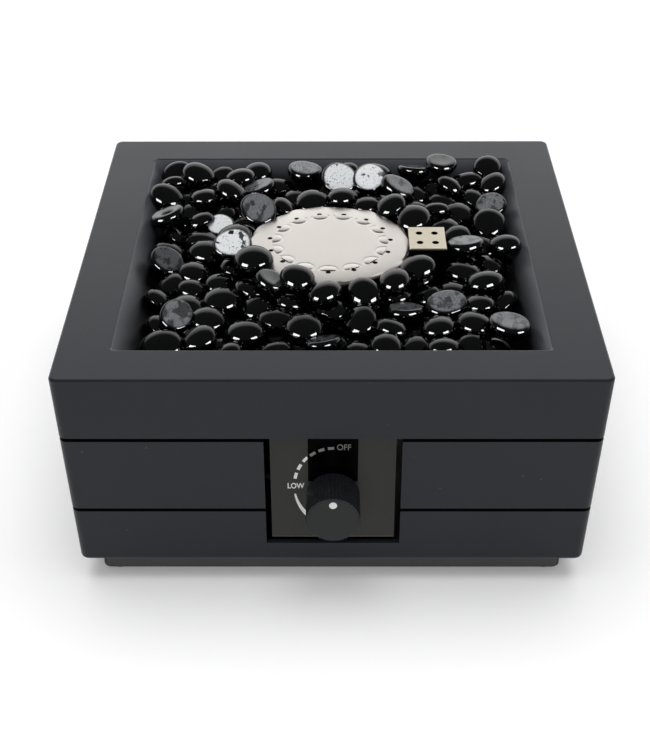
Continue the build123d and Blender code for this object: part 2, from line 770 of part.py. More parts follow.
with BuildPart() as burner_bowl:
    with BuildSketch(burner_section):
        with BuildLine():
            Polyline(
                (mixer_radius + 4 * fixed_clearance, pan_top + bowl_sheet / 2),
                (bowl_floor_radius, pan_top + bowl_sheet / 2),
                (bowl_rise_radius, bowl_flange_top - bowl_sheet / 2),
                (burner_radius - lid_sheet - fixed_clearance, bowl_flange_top - bowl_sheet / 2),
            )
        trace(line_width=bowl_sheet)
    revolve(axis=burner_axis)
save(burner_bowl, "burner_bowl")

with BuildPart() as mixer_tube:
    with BuildSketch(Plane.XY.offset(mixer_bottom)):
        with Locations((burner_x, 0)):
            Circle(mixer_radius)
    extrude(amount=pan_top + bowl_sheet - mixer_bottom)
    with BuildSketch(Plane.XY.offset(pan_top + bowl_sheet)):
        with Locations((burner_x, 0)):
            Circle(mixer_flange_radius)
    extrude(amount=bowl_sheet)
    with BuildSketch(Plane.XY.offset(mixer_bottom)):
        with Locations((burner_x, 0)):
            Circle(mixer_radius - mixer_wall)
    extrude(amount=mixer_bottom_drop + 2 * bowl_sheet, mode=Mode.SUBTRACT)
    for turn in (0, 90):
        with BuildSketch(Plane(origin=(burner_x, 0, mixer_bottom + window_gap + window_height / 2),
                               x_dir=(sin(radians(turn)), cos(radians(turn)), 0),
                               z_dir=(cos(radians(turn)), -sin(radians(turn)), 0))):
            Rectangle(window_width, window_height)
        extrude(amount=2 * mixer_radius, both=True, mode=Mode.SUBTRACT)
save(mixer_tube, "mixer_tube")

with BuildPart() as burner_locknut:
    with BuildSketch(Plane.XY.offset(pan_under - locknut_height)):
        with Locations((burner_x, 0)):
            RegularPolygon(locknut_size, 6)
            Circle(mixer_radius + fixed_clearance, mode=Mode.SUBTRACT)
    extrude(amount=locknut_height)
save(burner_locknut, "burner_locknut")

holder_pad = holder_radius + holder_pad_proud
jet_line_z = mixer_bottom - holder_height / 2
with BuildPart() as jet_holder:
    with BuildSketch(Plane.XY.offset(mixer_bottom - holder_height)):
        with Locations((burner_x, 0)):
            Circle(holder_radius)
    extrude(amount=holder_height)
    with BuildSketch(Plane.XY.offset(mixer_bottom)):
        with Locations((burner_x, 0)):
            Circle(mixer_radius - mixer_wall - fixed_clearance)
    extrude(amount=holder_spigot)
    with BuildSketch(facing_front(0, x=burner_x, z=jet_line_z)):
        Rectangle(holder_pad_width, holder_pad_width)
    extrude(amount=holder_pad)
    with BuildSketch(facing_front(-holder_pad, x=burner_x, z=jet_line_z)):
        Circle(gas_tube_radius + fixed_clearance)
    extrude(amount=-tube_insert, mode=Mode.SUBTRACT)
    with BuildSketch(Plane.XY.offset(mixer_bottom + holder_spigot)):
        with Locations((burner_x, 0)):
            Circle(jet_thread_radius + fixed_clearance)
    extrude(amount=-jet_thread_length - jet_hole_spare, mode=Mode.SUBTRACT)
save(jet_holder, "jet_holder")

jet_base = mixer_bottom + holder_spigot
with BuildPart() as jet:
    with BuildSketch(Plane.XY.offset(jet_base)):
        with Locations((burner_x, 0)):
            RegularPolygon(jet_hex, 6)
    extrude(amount=jet_hex_height)
    with BuildSketch(Plane.XY.offset(jet_base + jet_hex_height)):
        with Locations((burner_x, 0)):
            Circle(jet_nozzle_radius)
    extrude(amount=jet_nozzle_height, taper=jet_nozzle_taper)
    with BuildSketch(Plane.XY.offset(jet_base)):
        with Locations((burner_x, 0)):
            Circle(jet_thread_radius)
    extrude(amount=-jet_thread_length)
save(jet, "jet")


def add_tube(points, bend, radius, sides):
    """Sweep a tube or wire along straight runs joined by arcs."""
    with BuildLine() as route:
        FilletPolyline(*points, radius=bend)
    with BuildSketch(Plane(origin=route.line @ 0, z_dir=route.line % 0)) as section:
        RegularPolygon(radius, sides)
    sweep(section.sketch, path=route.line)


with BuildPart() as gas_tube:
    add_tube([
        (control_x, valve_rear + stop_clearance, outlet_z),
        (control_x, valve_rear + gas_tube_front_run, outlet_z),
        (burner_x, -holder_pad - gas_tube_rear_run, jet_line_z),
        (burner_x, -holder_pad + tube_insert - stop_clearance, jet_line_z),
    ], gas_tube_bend, gas_tube_radius, tube_sides)
save(gas_tube, "gas_tube")

with BuildPart() as tube_nuts:
    with BuildSketch(facing_back(valve_rear, control_x, outlet_z)):
        RegularPolygon(tube_nut_size, 6)
        Circle(gas_tube_radius + fixed_clearance, mode=Mode.SUBTRACT)
    extrude(amount=tube_nut_length)
    with BuildSketch(facing_front(-holder_pad, x=burner_x, z=jet_line_z)):
        RegularPolygon(tube_nut_size, 6)
        Circle(gas_tube_radius + fixed_clearance, mode=Mode.SUBTRACT)
    extrude(amount=tube_nut_length)
save(tube_nuts, "tube_nuts")

# ---------------------------------------------------------------- igniter shroud and sensors
shroud_top = rim_z + shroud_rise
with BuildPart() as igniter_shroud:
    with BuildSketch(Plane.XY.offset(pan_top)):
        with Locations((shroud_x, shroud_y)):
            Rectangle(shroud_length, shroud_width)
    extrude(amount=shroud_top - pan_top)
    fillet(igniter_shroud.edges().group_by(Axis.Z)[-1], shroud_edge_radius)
    with BuildSketch(Plane.XY.offset(pan_top)):
        with Locations((shroud_x - shroud_sheet, shroud_y)):
            Rectangle(shroud_length, shroud_width - 2 * shroud_sheet)
    extrude(amount=shroud_top - shroud_sheet - pan_top, mode=Mode.SUBTRACT)
    with BuildSketch(Plane.XY.offset(pan_top)):
        with Locations((shroud_right + shroud_foot / 2, shroud_y)):
            Rectangle(shroud_foot, shroud_width / 2)
            RegularPolygon(screw_hole_radius, screw_sides, mode=Mode.SUBTRACT)
    extrude(amount=shroud_sheet)
    with BuildSketch(Plane.XY.offset(shroud_top)):
        with Locations((shroud_x, shroud_y)):
            with GridLocations(shroud_hole_pitch_x, shroud_hole_pitch_y, 2, 2):
                Circle(shroud_hole_radius)
    extrude(amount=-2 * shroud_sheet, mode=Mode.SUBTRACT)
save(igniter_shroud, "igniter_shroud")

with BuildPart() as shroud_screw:
    add_screw(Plane.XY.offset(pan_top + shroud_sheet), [shroud_screw_place], sheet + shroud_sheet + screw_end)
save(shroud_screw, "shroud_screw")

with BuildPart() as electrode_ceramic:
    with BuildSketch(Plane.XY.offset(pan_top - ceramic_below)):
        with Locations((sensor_x, electrode_y)):
            Circle(ceramic_radius)
    extrude(amount=ceramic_below + ceramic_above)
    with BuildSketch(Plane.XY.offset(pan_top)):
        with Locations((sensor_x, electrode_y)):
            Circle(sensor_collar_radius)
    extrude(amount=sensor_collar_height)
save(electrode_ceramic, "electrode_ceramic")

with BuildPart() as electrode_tip:
    add_tube([
        (sensor_x, electrode_y, pan_top + ceramic_above),
        (sensor_x, electrode_y, pan_top + ceramic_above + electrode_wire_height),
        (sensor_x - electrode_reach, electrode_y,
         pan_top + ceramic_above + electrode_wire_height + electrode_lift),
    ], electrode_bend, electrode_wire_radius, wire_sides)
save(electrode_tip, "electrode_tip")

with BuildPart() as thermocouple:
    with BuildSketch(Plane.XY.offset(pan_top - probe_below)):
        with Locations((sensor_x, probe_y)):
            Circle(probe_radius)
    extrude(amount=probe_below + probe_above)
    with BuildSketch(Plane.XY.offset(pan_top)):
        with Locations((sensor_x, probe_y)):
            Circle(sensor_collar_radius)
    extrude(amount=sensor_collar_height)
save(thermocouple, "thermocouple")

lead_level = pan_under - lead_drop
with BuildPart() as igniter_lead:
    add_tube([
        (piezo_x, piezo_rear + piezo_tail_length, knob_z),
        (piezo_x, piezo_rear + piezo_tail_length + igniter_lead_run, knob_z),
        (sensor_x - lead_side, electrode_y - lead_back, lead_level),
        (sensor_x, electrode_y, lead_level + lead_side),
        (sensor_x, electrode_y, pan_top - ceramic_below),
    ], igniter_lead_bend, igniter_lead_radius, wire_sides)
save(igniter_lead, "igniter_lead")

magnet_end = valve_rear + magnet_length + tube_insert
with BuildPart() as thermocouple_lead:
    add_tube([
        (control_x, magnet_end, magnet_z),
        (control_x, magnet_end + probe_lead_run, magnet_z),
        (sensor_x - 2 * lead_side, probe_y - lead_back, lead_level - lead_side),
        (sensor_x, probe_y, lead_level - lead_side / 3),
        (sensor_x, probe_y, pan_top - probe_below),
    ], probe_lead_bend, probe_lead_radius, wire_sides)
save(thermocouple_lead, "thermocouple_lead")

# ---------------------------------------------------------------- gas inlet
inlet_wall = half_width(inlet_z)
hex_start = inlet_wall + inlet_washer_gap
thread_start = hex_start + inlet_hex_length
nose_start = thread_start + inlet_thread_length
nose_end = nose_start + inlet_nose
with BuildPart() as inlet_fitting:
    with BuildSketch(facing_back(hex_start, inlet_x, inlet_z)):
        RegularPolygon(inlet_hex, 6)
    extrude(amount=inlet_hex_length)
    with BuildSketch(facing_back(thread_start, inlet_x, inlet_z)):
        Circle(inlet_thread_radius)
    extrude(amount=inlet_thread_length)
    with BuildSketch(facing_back(nose_start, inlet_x, inlet_z)):
        Circle(inlet_nose_radius + inlet_nose_flare)
    with BuildSketch(facing_back(nose_end, inlet_x, inlet_z)):
        Circle(inlet_nose_radius)
    loft()
    with BuildSketch(facing_back(hex_start, inlet_x, inlet_z)):
        Circle(inlet_tail_radius)
    extrude(amount=-inlet_tail_length)
    with BuildSketch(facing_back(nose_end, inlet_x, inlet_z)):
        Circle(inlet_bore)
    extrude(amount=hex_start - nose_end, mode=Mode.SUBTRACT)
    with BuildSketch(facing_back(hex_start - inlet_tail_length, inlet_x, inlet_z)):
        Circle(inlet_pipe_radius + fixed_clearance)
    extrude(amount=tube_insert, mode=Mode.SUBTRACT)
save(inlet_fitting, "inlet_fitting")

with BuildPart() as inlet_nut:
    nut_face = inlet_wall - wall - inlet_nut_gap
    with BuildSketch(facing_back(nut_face, inlet_x, inlet_z)):
        RegularPolygon(inlet_hex, 6)
        Circle(inlet_tail_radius + fixed_clearance, mode=Mode.SUBTRACT)
    extrude(amount=-inlet_nut_height)
save(inlet_nut, "inlet_nut")

with BuildPart() as inlet_pipe:
    add_tube([
        (boss_end + inlet_boss_length - stop_clearance, inlet_boss_y, inlet_boss_z),
        (inlet_x, inlet_boss_y, inlet_boss_z),
        (inlet_x, inlet_boss_y + inlet_pipe_run, inlet_z),
        (inlet_x, hex_start - inlet_tail_length + tube_insert - stop_clearance, inlet_z),
    ], inlet_pipe_bend, inlet_pipe_radius, tube_sides)
save(inlet_pipe, "inlet_pipe")

# ---------------------------------------------------------------- fire glass
flat_share = cos(pi / glass_sides)


def drop_faces(radius, height):
    """Outward normals and offsets of one drop's flat faces, its base at the origin."""
    normals = [(0.0, 0.0, -1.0), (0.0, 0.0, 1.0)]
    offsets = [0.0, height]
    for (low_share, low), (high_share, high) in zip(glass_profile, glass_profile[1:]):
        rise = (high - low) * height
        run = (high_share - low_share) * radius * flat_share
        size = sqrt(rise**2 + run**2)
        for side in range(glass_sides):
            angle = (2 * side + 1) * pi / glass_sides
            normals.append((cos(angle) * rise / size, sin(angle) * rise / size, -run / size))
            offsets.append((rise * low_share * radius * flat_share - run * low * height) / size)
    return np.array(normals), np.array(offsets)


def tilted(tilt, heading, spin):
    """Rotation that spins a drop about its own axis, then tips it towards a heading."""
    up = np.array((sin(tilt) * cos(heading), sin(tilt) * sin(heading), cos(tilt)))
    across = np.array((-sin(heading), cos(heading), 0.0))
    first = cos(spin) * np.cross(across, up) + sin(spin) * across
    return np.column_stack((first, np.cross(up, first), up))


def empty_bowl(x, y):
    """Height of what a drop may rest on, before any glass is in."""
    across = np.maximum(abs(x), abs(y))
    height = pan_top + np.maximum(0, (across - funnel_width(pan_top) / 2) / slope) + glass_skin
    beside = abs(y - shroud_y) < shroud_width / 2 + glass_margin
    height[(abs(x - shroud_x) < shroud_length / 2 + glass_margin) & beside] = no_go
    on_foot = (x > shroud_right) & (x < shroud_right + shroud_foot + glass_margin) & beside
    height[on_foot] = np.maximum(height[on_foot], pan_top + shroud_sheet + screw_head_height + glass_skin)
    return height


def close_burner(height, x, y, reach, lap_inner):
    """No drop may lie within reach of the burner's axis, but for the lap beyond lap_inner."""
    from_burner = np.hypot(x - burner_x, y)
    bearing = np.degrees(np.arctan2(y, x - burner_x)) % 360
    height[from_burner < reach] = no_go
    lap = (bearing > glass_lap[0]) & (bearing < glass_lap[1])
    height[lap & (from_burner > lap_inner) & (from_burner < reach)] = lid_flat_top + glass_skin


def likely_places(height_map, wished, radius, random):
    """The places where a level disc of this radius would lie deepest below the wished surface."""
    window = int(radius / glass_cell)
    disc = np.hypot(*np.mgrid[-window:window + 1, -window:window + 1]) <= radius * glass_likely_share
    views = np.lib.stride_tricks.sliding_window_view(height_map, disc.shape)[::glass_stride, ::glass_stride]
    resting = views[:, :, disc].max(axis=2)
    rows = window + glass_stride * np.arange(resting.shape[0])
    columns = window + glass_stride * np.arange(resting.shape[1])
    depth = resting - wished[np.ix_(rows, columns)]
    depth = depth + random.uniform(0, glass_scatter, depth.shape)
    for place in np.argsort(depth, axis=None)[:glass_tries]:
        row, column = divmod(int(place), len(columns))
        yield rows[row], columns[column]


def best_rest(radius, height_map, wished, random):
    """Rest one drop at the place and tilt where it sinks deepest below the wished surface."""
    height = glass_flatness * radius
    normals, offsets = drop_faces(radius, height)
    window = int(radius / glass_cell) + 2
    best = None
    for row, column in likely_places(height_map, wished, radius, random):
        x, y = map_x[row, column], map_y[row, column]
        view = (slice(max(row - window, 0), row + window + 1),
                slice(max(column - window, 0), column + window + 1))
        spin = random.uniform(0, 2 * pi / glass_sides)
        first = random.uniform(0, 2 * pi)
        poses = [(0.0, 0.0)] + [(radians(tilt), first + 2 * pi * step / glass_headings)
                                for tilt in glass_tilts for step in range(glass_headings)]
        for tilt, heading in poses:
            turn = tilted(tilt, heading, spin)
            middle = turn @ np.array((0.0, 0.0, height / 2))
            faces = normals @ turn.T
            depth = (offsets + glass_skin - faces @ middle)[:, None, None]
            depth = depth - faces[:, 0, None, None] * (map_x[view] - x)
            depth = depth - faces[:, 1, None, None] * (map_y[view] - y)
            downward = faces[:, 2] < -1e-6
            upward = faces[:, 2] > 1e-6
            low = (depth[downward] / faces[downward, 2, None, None]).max(axis=0)
            high = (depth[upward] / faces[upward, 2, None, None]).min(axis=0)
            inside = high > low
            z = (height_map[view] - low)[inside].max()
            score = z - wished[row, column] + glass_tilt_cost * tilt
            if best is None or score < best[0]:
                best = (score, np.array((x, y, z)), turn, view, inside, high + z)
    _, centre, turn, view, inside, top = best
    height_map[view][inside] = np.maximum(height_map[view][inside], top[inside])
    return Plane(origin=tuple(centre - turn @ np.array((0.0, 0.0, height / 2))),
                 x_dir=tuple(turn[:, 0]), z_dir=tuple(turn[:, 2])).location


no_go = rim_z + body_height
map_reach = int(funnel_width(rim_z) / 2 / glass_cell) + 8
map_line = np.arange(-map_reach, map_reach + 1) * glass_cell
map_x, map_y = np.meshgrid(map_line, map_line, indexing="ij")
height_map = empty_bowl(map_x, map_y)
close_burner(height_map, map_x, map_y, glass_burner_gap + bowl_floor_radius, no_go)
wished = rim_z - glass_front_drop + glass_back_rise * (map_y / opening_width + 0.5)
beyond_edge = np.abs(np.hypot(map_x - burner_x, map_y) - burner_radius)
random = np.random.default_rng(glass_seed)

drop_shapes = {}
for radius in glass_radii:
    rings = []
    for share, level in glass_profile:
        with BuildSketch(Plane.XY.offset(level * glass_flatness * radius)) as ring:
            RegularPolygon(share * radius, glass_sides)
        rings.append(ring.sketch)
    with BuildPart() as drop:
        loft(rings, ruled=True)
    drop_shapes[radius] = drop.part

for layer, count in glass_layers:
    places = {radius: [] for radius in glass_radii}
    for _ in range(count):
        radius = random.choice(glass_radii, p=glass_shares)
        places[radius].append(best_rest(radius, height_map, wished, random))
    if layer == "lower":
        close_burner(height_map, map_x, map_y, burner_radius + glass_margin, burner_radius - glass_lap_depth)
        wished += glass_mound * np.clip(1 - beyond_edge / glass_mound_reach, 0, 1)
    with BuildPart() as fire_glass:
        for radius, spots in places.items():
            with Locations(*spots):
                add(drop_shapes[radius])
    save(fire_glass, f"fire_glass_{layer}")
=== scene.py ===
# %% [markdown]
# # A tabletop gas fire pit
# A square, dark, powder-coated casing holds a shallow bowl of black glass drops round a
# stamped steel burner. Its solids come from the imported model. This lesson gives them their
# finishes, swaps the plain solids of the burner lid and the glass for detailed meshes,
# because the eye goes there, and adds the dial's print, which is too thin for a solid.

import json
from math import cos, hypot, pi, radians, sin

import bmesh
import bpy
import numpy as np
from mathutils import Matrix, Vector

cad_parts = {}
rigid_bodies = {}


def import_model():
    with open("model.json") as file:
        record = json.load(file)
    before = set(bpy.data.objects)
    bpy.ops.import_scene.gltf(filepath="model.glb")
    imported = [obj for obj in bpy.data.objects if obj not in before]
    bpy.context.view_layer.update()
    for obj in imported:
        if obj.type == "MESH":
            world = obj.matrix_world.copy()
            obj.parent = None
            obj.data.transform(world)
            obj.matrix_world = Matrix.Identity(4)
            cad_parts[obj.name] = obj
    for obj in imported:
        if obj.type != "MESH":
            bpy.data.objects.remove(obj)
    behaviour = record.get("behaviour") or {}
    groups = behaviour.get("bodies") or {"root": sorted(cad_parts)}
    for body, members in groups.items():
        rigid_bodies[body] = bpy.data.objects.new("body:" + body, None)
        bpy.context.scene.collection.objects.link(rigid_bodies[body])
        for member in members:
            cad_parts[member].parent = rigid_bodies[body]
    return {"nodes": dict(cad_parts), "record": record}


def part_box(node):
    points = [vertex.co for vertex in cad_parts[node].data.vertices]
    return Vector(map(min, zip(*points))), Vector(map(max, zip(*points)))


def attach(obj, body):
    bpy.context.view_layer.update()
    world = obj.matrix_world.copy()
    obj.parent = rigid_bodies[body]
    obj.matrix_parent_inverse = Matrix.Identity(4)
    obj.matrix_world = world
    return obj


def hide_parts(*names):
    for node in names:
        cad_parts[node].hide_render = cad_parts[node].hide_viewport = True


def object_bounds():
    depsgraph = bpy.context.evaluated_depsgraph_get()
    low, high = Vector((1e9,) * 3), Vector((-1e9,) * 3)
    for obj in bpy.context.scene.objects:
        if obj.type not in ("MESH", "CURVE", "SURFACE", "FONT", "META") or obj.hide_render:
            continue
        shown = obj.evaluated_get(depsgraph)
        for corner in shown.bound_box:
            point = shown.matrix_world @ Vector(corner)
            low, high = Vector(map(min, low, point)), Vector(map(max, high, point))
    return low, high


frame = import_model()
start_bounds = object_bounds()
nodes = frame["nodes"]

# %% [markdown]
# ## The camera
# It stands in front of the fire pit and looks down at it by about 34 degrees. A long lens
# keeps the sides of the box nearly parallel. A tracking constraint could aim it, but would
# always hold it level, and this camera rolls a little. So its axes are worked out from three
# turns, then put in a matrix as its columns.


# %% The camera
def add_object(name, data):
    """A new object that shows this data, linked to the scene."""
    made = bpy.data.objects.new(name, data)
    bpy.context.scene.collection.objects.link(made)
    return made


def camera_matrix(place, pitch, yaw, roll):
    """The matrix of a camera that looks to the back, pitched down, turned and rolled."""
    ahead = Vector((sin(yaw) * cos(pitch), cos(yaw) * cos(pitch), -sin(pitch)))
    level = Vector((cos(yaw), -sin(yaw), 0.0))
    down = ahead.cross(level)
    across = cos(roll) * level + sin(roll) * down
    up = sin(roll) * level - cos(roll) * down
    matrix = Matrix((across, up, -ahead)).transposed().to_4x4()
    matrix.translation = place
    return matrix


RIM_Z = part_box("casing")[1].z
CAMERA_PLACE = Vector((-0.0001, -0.9061, RIM_Z + 0.4933))
CAMERA_LENS = 69.0
PITCH, YAW, ROLL = radians(33.784), radians(-0.302), radians(0.183)

camera_data = bpy.data.cameras.new("camera")
camera_data.lens = CAMERA_LENS
camera = add_object("camera", camera_data)
camera.matrix_world = camera_matrix(CAMERA_PLACE, PITCH, YAW, ROLL)
bpy.context.scene.camera = camera
bpy.context.scene.view_settings.view_transform = "Standard"
print("rim at", round(RIM_Z, 4), "camera at", [round(value, 3) for value in camera.location])

# %% [markdown]
# ## Shader sums as plain Python
# Wiring Math nodes by hand hides the sum they stand for. This class wraps a node's output
# and adds a Math node for each sign, so that `1 - mask * 0.5` reads as it is meant.


# %% A socket that does sums
def plug(socket, value):
    """Link a socket to another's output, or set it to a plain value."""
    if isinstance(value, Wire):
        value.tree.links.new(value.output, socket)
    else:
        socket.default_value = value


class Wire:
    """The output of a shader node. Signs between wires and numbers add Math nodes."""

    def __init__(self, tree, output):
        self.tree = tree
        self.output = output

    def maths(self, operation, *values):
        """A Math node that does this operation on wires or numbers."""
        node = self.tree.nodes.new("ShaderNodeMath")
        node.operation = operation
        for socket, value in zip(node.inputs, values):
            plug(socket, value)
        return Wire(self.tree, node.outputs[0])

    def __add__(self, other):
        return self.maths("ADD", self, other)

    def __sub__(self, other):
        return self.maths("SUBTRACT", self, other)

    def __rsub__(self, other):
        return self.maths("SUBTRACT", other, self)

    def __mul__(self, other):
        return self.maths("MULTIPLY", self, other)

    def __gt__(self, other):
        return self.maths("GREATER_THAN", self, other)

    def __lt__(self, other):
        return self.maths("LESS_THAN", self, other)

    __radd__ = __add__
    __rmul__ = __mul__


print("signs that add Math nodes: + - * > <")

# %% [markdown]
# ## One method for every other node
# A finish is one material. `add` makes a node of any type: its settings first, such as a
# noise's dimensions or a ramp's stops, then what its sockets hold or are linked to. `skin`
# ends the finish with the one shader that all of them share.


# %% A finish and its nodes
class Finish:
    """A material, or the world, with one method that adds its nodes."""

    def __init__(self, owner):
        owner.use_nodes = True
        self.owner = owner
        self.tree = owner.node_tree
        self.tree.nodes.clear()

    def add(self, kind, settings=None, sockets=None, output=0):
        """Any node: its type, its settings, its sockets' values or links, and which output."""
        node = self.tree.nodes.new("ShaderNode" + kind)
        for name, value in (settings or {}).items():
            if name == "stops":
                ramp = node.color_ramp.elements
                while len(ramp) < len(value):
                    ramp.new(1.0)
                for stop, (place, shade) in zip(ramp, value):
                    stop.position = place
                    stop.color = (shade, shade, shade, 1.0)
            else:
                setattr(node, name, value)
        for name, value in (sockets or {}).items():
            plug(node.inputs[name], value)
        return Wire(self.tree, node.outputs[output]) if node.outputs else None

    def along(self, axis, space="Object"):
        """How far a point lies along the X, Y or Z axis of a space."""
        return self.add("SeparateXYZ", None, {0: self.add("TexCoord", output=space)}, axis)

    def noise(self, size, detail=2.0, stretch=None):
        """Cloudy noise whose blobs are about that many metres across, from 0 to 1."""
        place = self.add("TexCoord", output="Object")
        if stretch:
            place = self.add("VectorMath", {"operation": "MULTIPLY"}, {0: place, 1: stretch})
        return self.add("TexNoise", None, {"Vector": place, "Scale": 1 / size, "Detail": detail})

    def blend(self, mask, dark, light):
        """A colour that goes from dark to light with the mask."""
        return self.add("Mix", {"data_type": "RGBA"}, {0: mask, 6: dark, 7: light}, 2)

    def ramp(self, value, *stops):
        """The value passed through a curve of (place, level) stops."""
        return self.add("ValToRGB", {"stops": stops}, {0: value})

    def within(self, value, middle, half):
        """1 where the value is within half of the middle, else 0."""
        return self.add("Math", {"operation": "COMPARE"}, {0: value, 1: middle, 2: half})

    def bump(self, height, strength, distance):
        """Relief from a height between 0 and 1, which stands for that distance in metres."""
        return self.add("Bump", None,
                        {"Height": height, "Strength": strength, "Distance": distance})

    def skin(self, **sockets):
        """The surface itself, ending in the material's output."""
        named = {name.replace("_", " "): value for name, value in sockets.items()}
        shader = self.add("BsdfPrincipled", None, named)
        self.add("OutputMaterial", None, {"Surface": shader})
        return self.owner


def new_finish(name):
    """A finish on a new material, still without nodes."""
    return Finish(bpy.data.materials.new(name))


def rgb(red, green, blue):
    """A colour as seen on a screen, 0 to 255, as the linear colour a shader wants."""
    shades = [value / 255 for value in (red, green, blue)]
    return [s / 12.92 if s < 0.04045 else ((s + 0.055) / 1.055) ** 2.4 for s in shades] + [1.0]


def shaded(colour, factor, lift=0.0):
    """The colour made darker or paler by a factor, and lifted by a plain amount."""
    return [min(1.0, value * factor + lift) for value in colour[:3]] + [1.0]


print("a mid grey of 128 is", round(rgb(128, 128, 128)[0], 3), "to a shader")

# %% [markdown]
# ## The paper floor
# The fire pit stands on white paper that runs past the view. A curved backdrop could be
# modelled, but one wide flat sheet of plain white diffuse does the same and keeps the soft
# shadow. The eye sees it white, while light that bounces off it meets a much greyer sheet,
# so that the underside and the front of the casing stay dark.

# %% The floor
FLOOR_SIZE = 30.0
PAPER_SEEN = 0.90       # its grey to the eye
PAPER_BOUNCE = 0.46     # its grey to light that bounces
PAPER_MIRRORED = 0.5    # share of the seen paper in what metal and glass show
PAPER_LIFT = 0.14       # faint glow that makes up for the light that it lacks
WHITE = (1.0, 1.0, 1.0, 1.0)

half_floor = FLOOR_SIZE / 2
floor_mesh = bpy.data.meshes.new("floor")
floor_mesh.from_pydata(
    [(-half_floor, -half_floor, 0), (half_floor, -half_floor, 0), (half_floor, half_floor, 0),
     (-half_floor, half_floor, 0)], [], [(0, 1, 2, 3)])
floor = add_object("floor", floor_mesh)


def white_paper():
    """Paper that is white to the eye and in reflections, and throws back little light."""
    finish = new_finish("white_paper")
    seen = finish.add("LightPath", output="Is Camera Ray")
    glossy = finish.add("LightPath", output="Is Glossy Ray")
    clear = finish.add("LightPath", output="Is Transmission Ray")
    sheet = finish.add("BsdfDiffuse", None, {"Color": shaded(WHITE, PAPER_SEEN)})
    glow = finish.add("Emission", None, {"Color": WHITE, "Strength": PAPER_LIFT})
    lit = finish.add("AddShader", None, {0: sheet, 1: glow})
    dim = finish.add("BsdfDiffuse", None, {"Color": shaded(WHITE, PAPER_BOUNCE)})
    pick = finish.add("MixShader", None,
                      {0: seen + (glossy + clear) * PAPER_MIRRORED, 1: dim, 2: lit})
    finish.add("OutputMaterial", None, {"Surface": pick})
    return finish.owner


floor_mesh.materials.append(white_paper())
print("floor:", FLOOR_SIZE, "m of white paper")

# %% [markdown]
# ## The world
# The world lights everything evenly. The eye sees it plain white. Metal and glass see the
# white wall behind, which fades to a dark room in front and overhead: that is what makes
# black glass look black. Real walls could be built round the fire pit, but they would also
# take its light away, and a ramp over the direction of a ray does not.

# %% The world
AMBIENT = 0.40          # even light from all round
ROOM_DARK = 0.07        # what mirrors see in front and overhead
WALL_GLOW = 1.30        # strength of the wall behind, in mirrors
WALL_STOPS = ((0.46, ROOM_DARK), (0.60, 0.62), (0.80, 1.0))

world = bpy.data.worlds.new("studio")
bpy.context.scene.world = world
studio = Finish(world)
to_back, up = studio.along("Y", "Generated"), studio.along("Z", "Generated")
behind = to_back * 0.5 + 0.5 - up * 0.5         # 0 in front or overhead, 1 low behind
wall = studio.ramp(behind, *WALL_STOPS)
camera_ray = studio.add("LightPath", output="Is Camera Ray")
glossy_ray = studio.add("LightPath", output="Is Glossy Ray")
clear_ray = studio.add("LightPath", output="Is Transmission Ray")
even = studio.add("Background", None, {"Color": WHITE, "Strength": AMBIENT})
paper_wall = studio.add("Background", None, {"Color": wall, "Strength": WALL_GLOW})
white = studio.add("Background", None, {"Color": WHITE, "Strength": 1.0})
mirrored = studio.add("MixShader", None, {0: glossy_ray + clear_ray, 1: even, 2: paper_wall})
seen = studio.add("MixShader", None, {0: camera_ray, 1: mirrored, 2: white})
studio.add("OutputWorld", None, {"Surface": seen})
print("world: ambient", AMBIENT, "dark room", ROOM_DARK)

# %% [markdown]
# ## The lamps
# A very wide sun overhead gives the plain level and the soft shadow under the plinth, and a
# weak wide panel in front fills the front faces. Neither shows in a mirror. Two soft boxes
# stand low in front, one each side, and give no light but their mirror images: each drop of
# glass shows a pair of bright squares. One big lamp would light the fire pit as well, but
# without that sparkle.


# %% The lamps
def aim(place, target):
    """A matrix at a place whose -Z axis points at the target."""
    turn = (Vector(target) - Vector(place)).to_track_quat("-Z", "Y")
    return Matrix.Translation(place) @ turn.to_matrix().to_4x4()


def lamp(name, kind, place, target, energy, **settings):
    """A lamp of a kind, at a place, turned to its target."""
    data = bpy.data.lights.new(name, kind)
    data.energy = energy
    for key, value in settings.items():
        setattr(data, key, value)
    made = add_object(name, data)
    made.matrix_world = aim(place, target)
    return made


SUN_STRENGTH, SUN_SPREAD = 1.9, radians(54)
FILL_POWER, SOFT_BOX_POWER = 2.4, 42.0
FRONT_FACE = (0, -0.17, 0.08)
GLASS_MIDDLE = (0, 0, 0.14)

top_light = lamp("top_light", "SUN", (0, 0.06, 1.5), (0, 0, 0), SUN_STRENGTH,
                 angle=SUN_SPREAD)
front_fill = lamp("front_fill", "AREA", (0, -1.30, 0.40), FRONT_FACE, FILL_POWER,
                  shape="RECTANGLE", size=1.2, size_y=0.5)
soft_boxes = [
    lamp(name, "AREA", (x, -0.86, 0.46), GLASS_MIDDLE, SOFT_BOX_POWER,
         shape="RECTANGLE", size=0.80, size_y=0.62)
    for name, x in (("soft_box_left", -0.98), ("soft_box_right", 0.98))
]
for broad_light in (top_light, front_fill):
    broad_light.visible_glossy = False
for soft_box in soft_boxes:
    soft_box.visible_diffuse = False
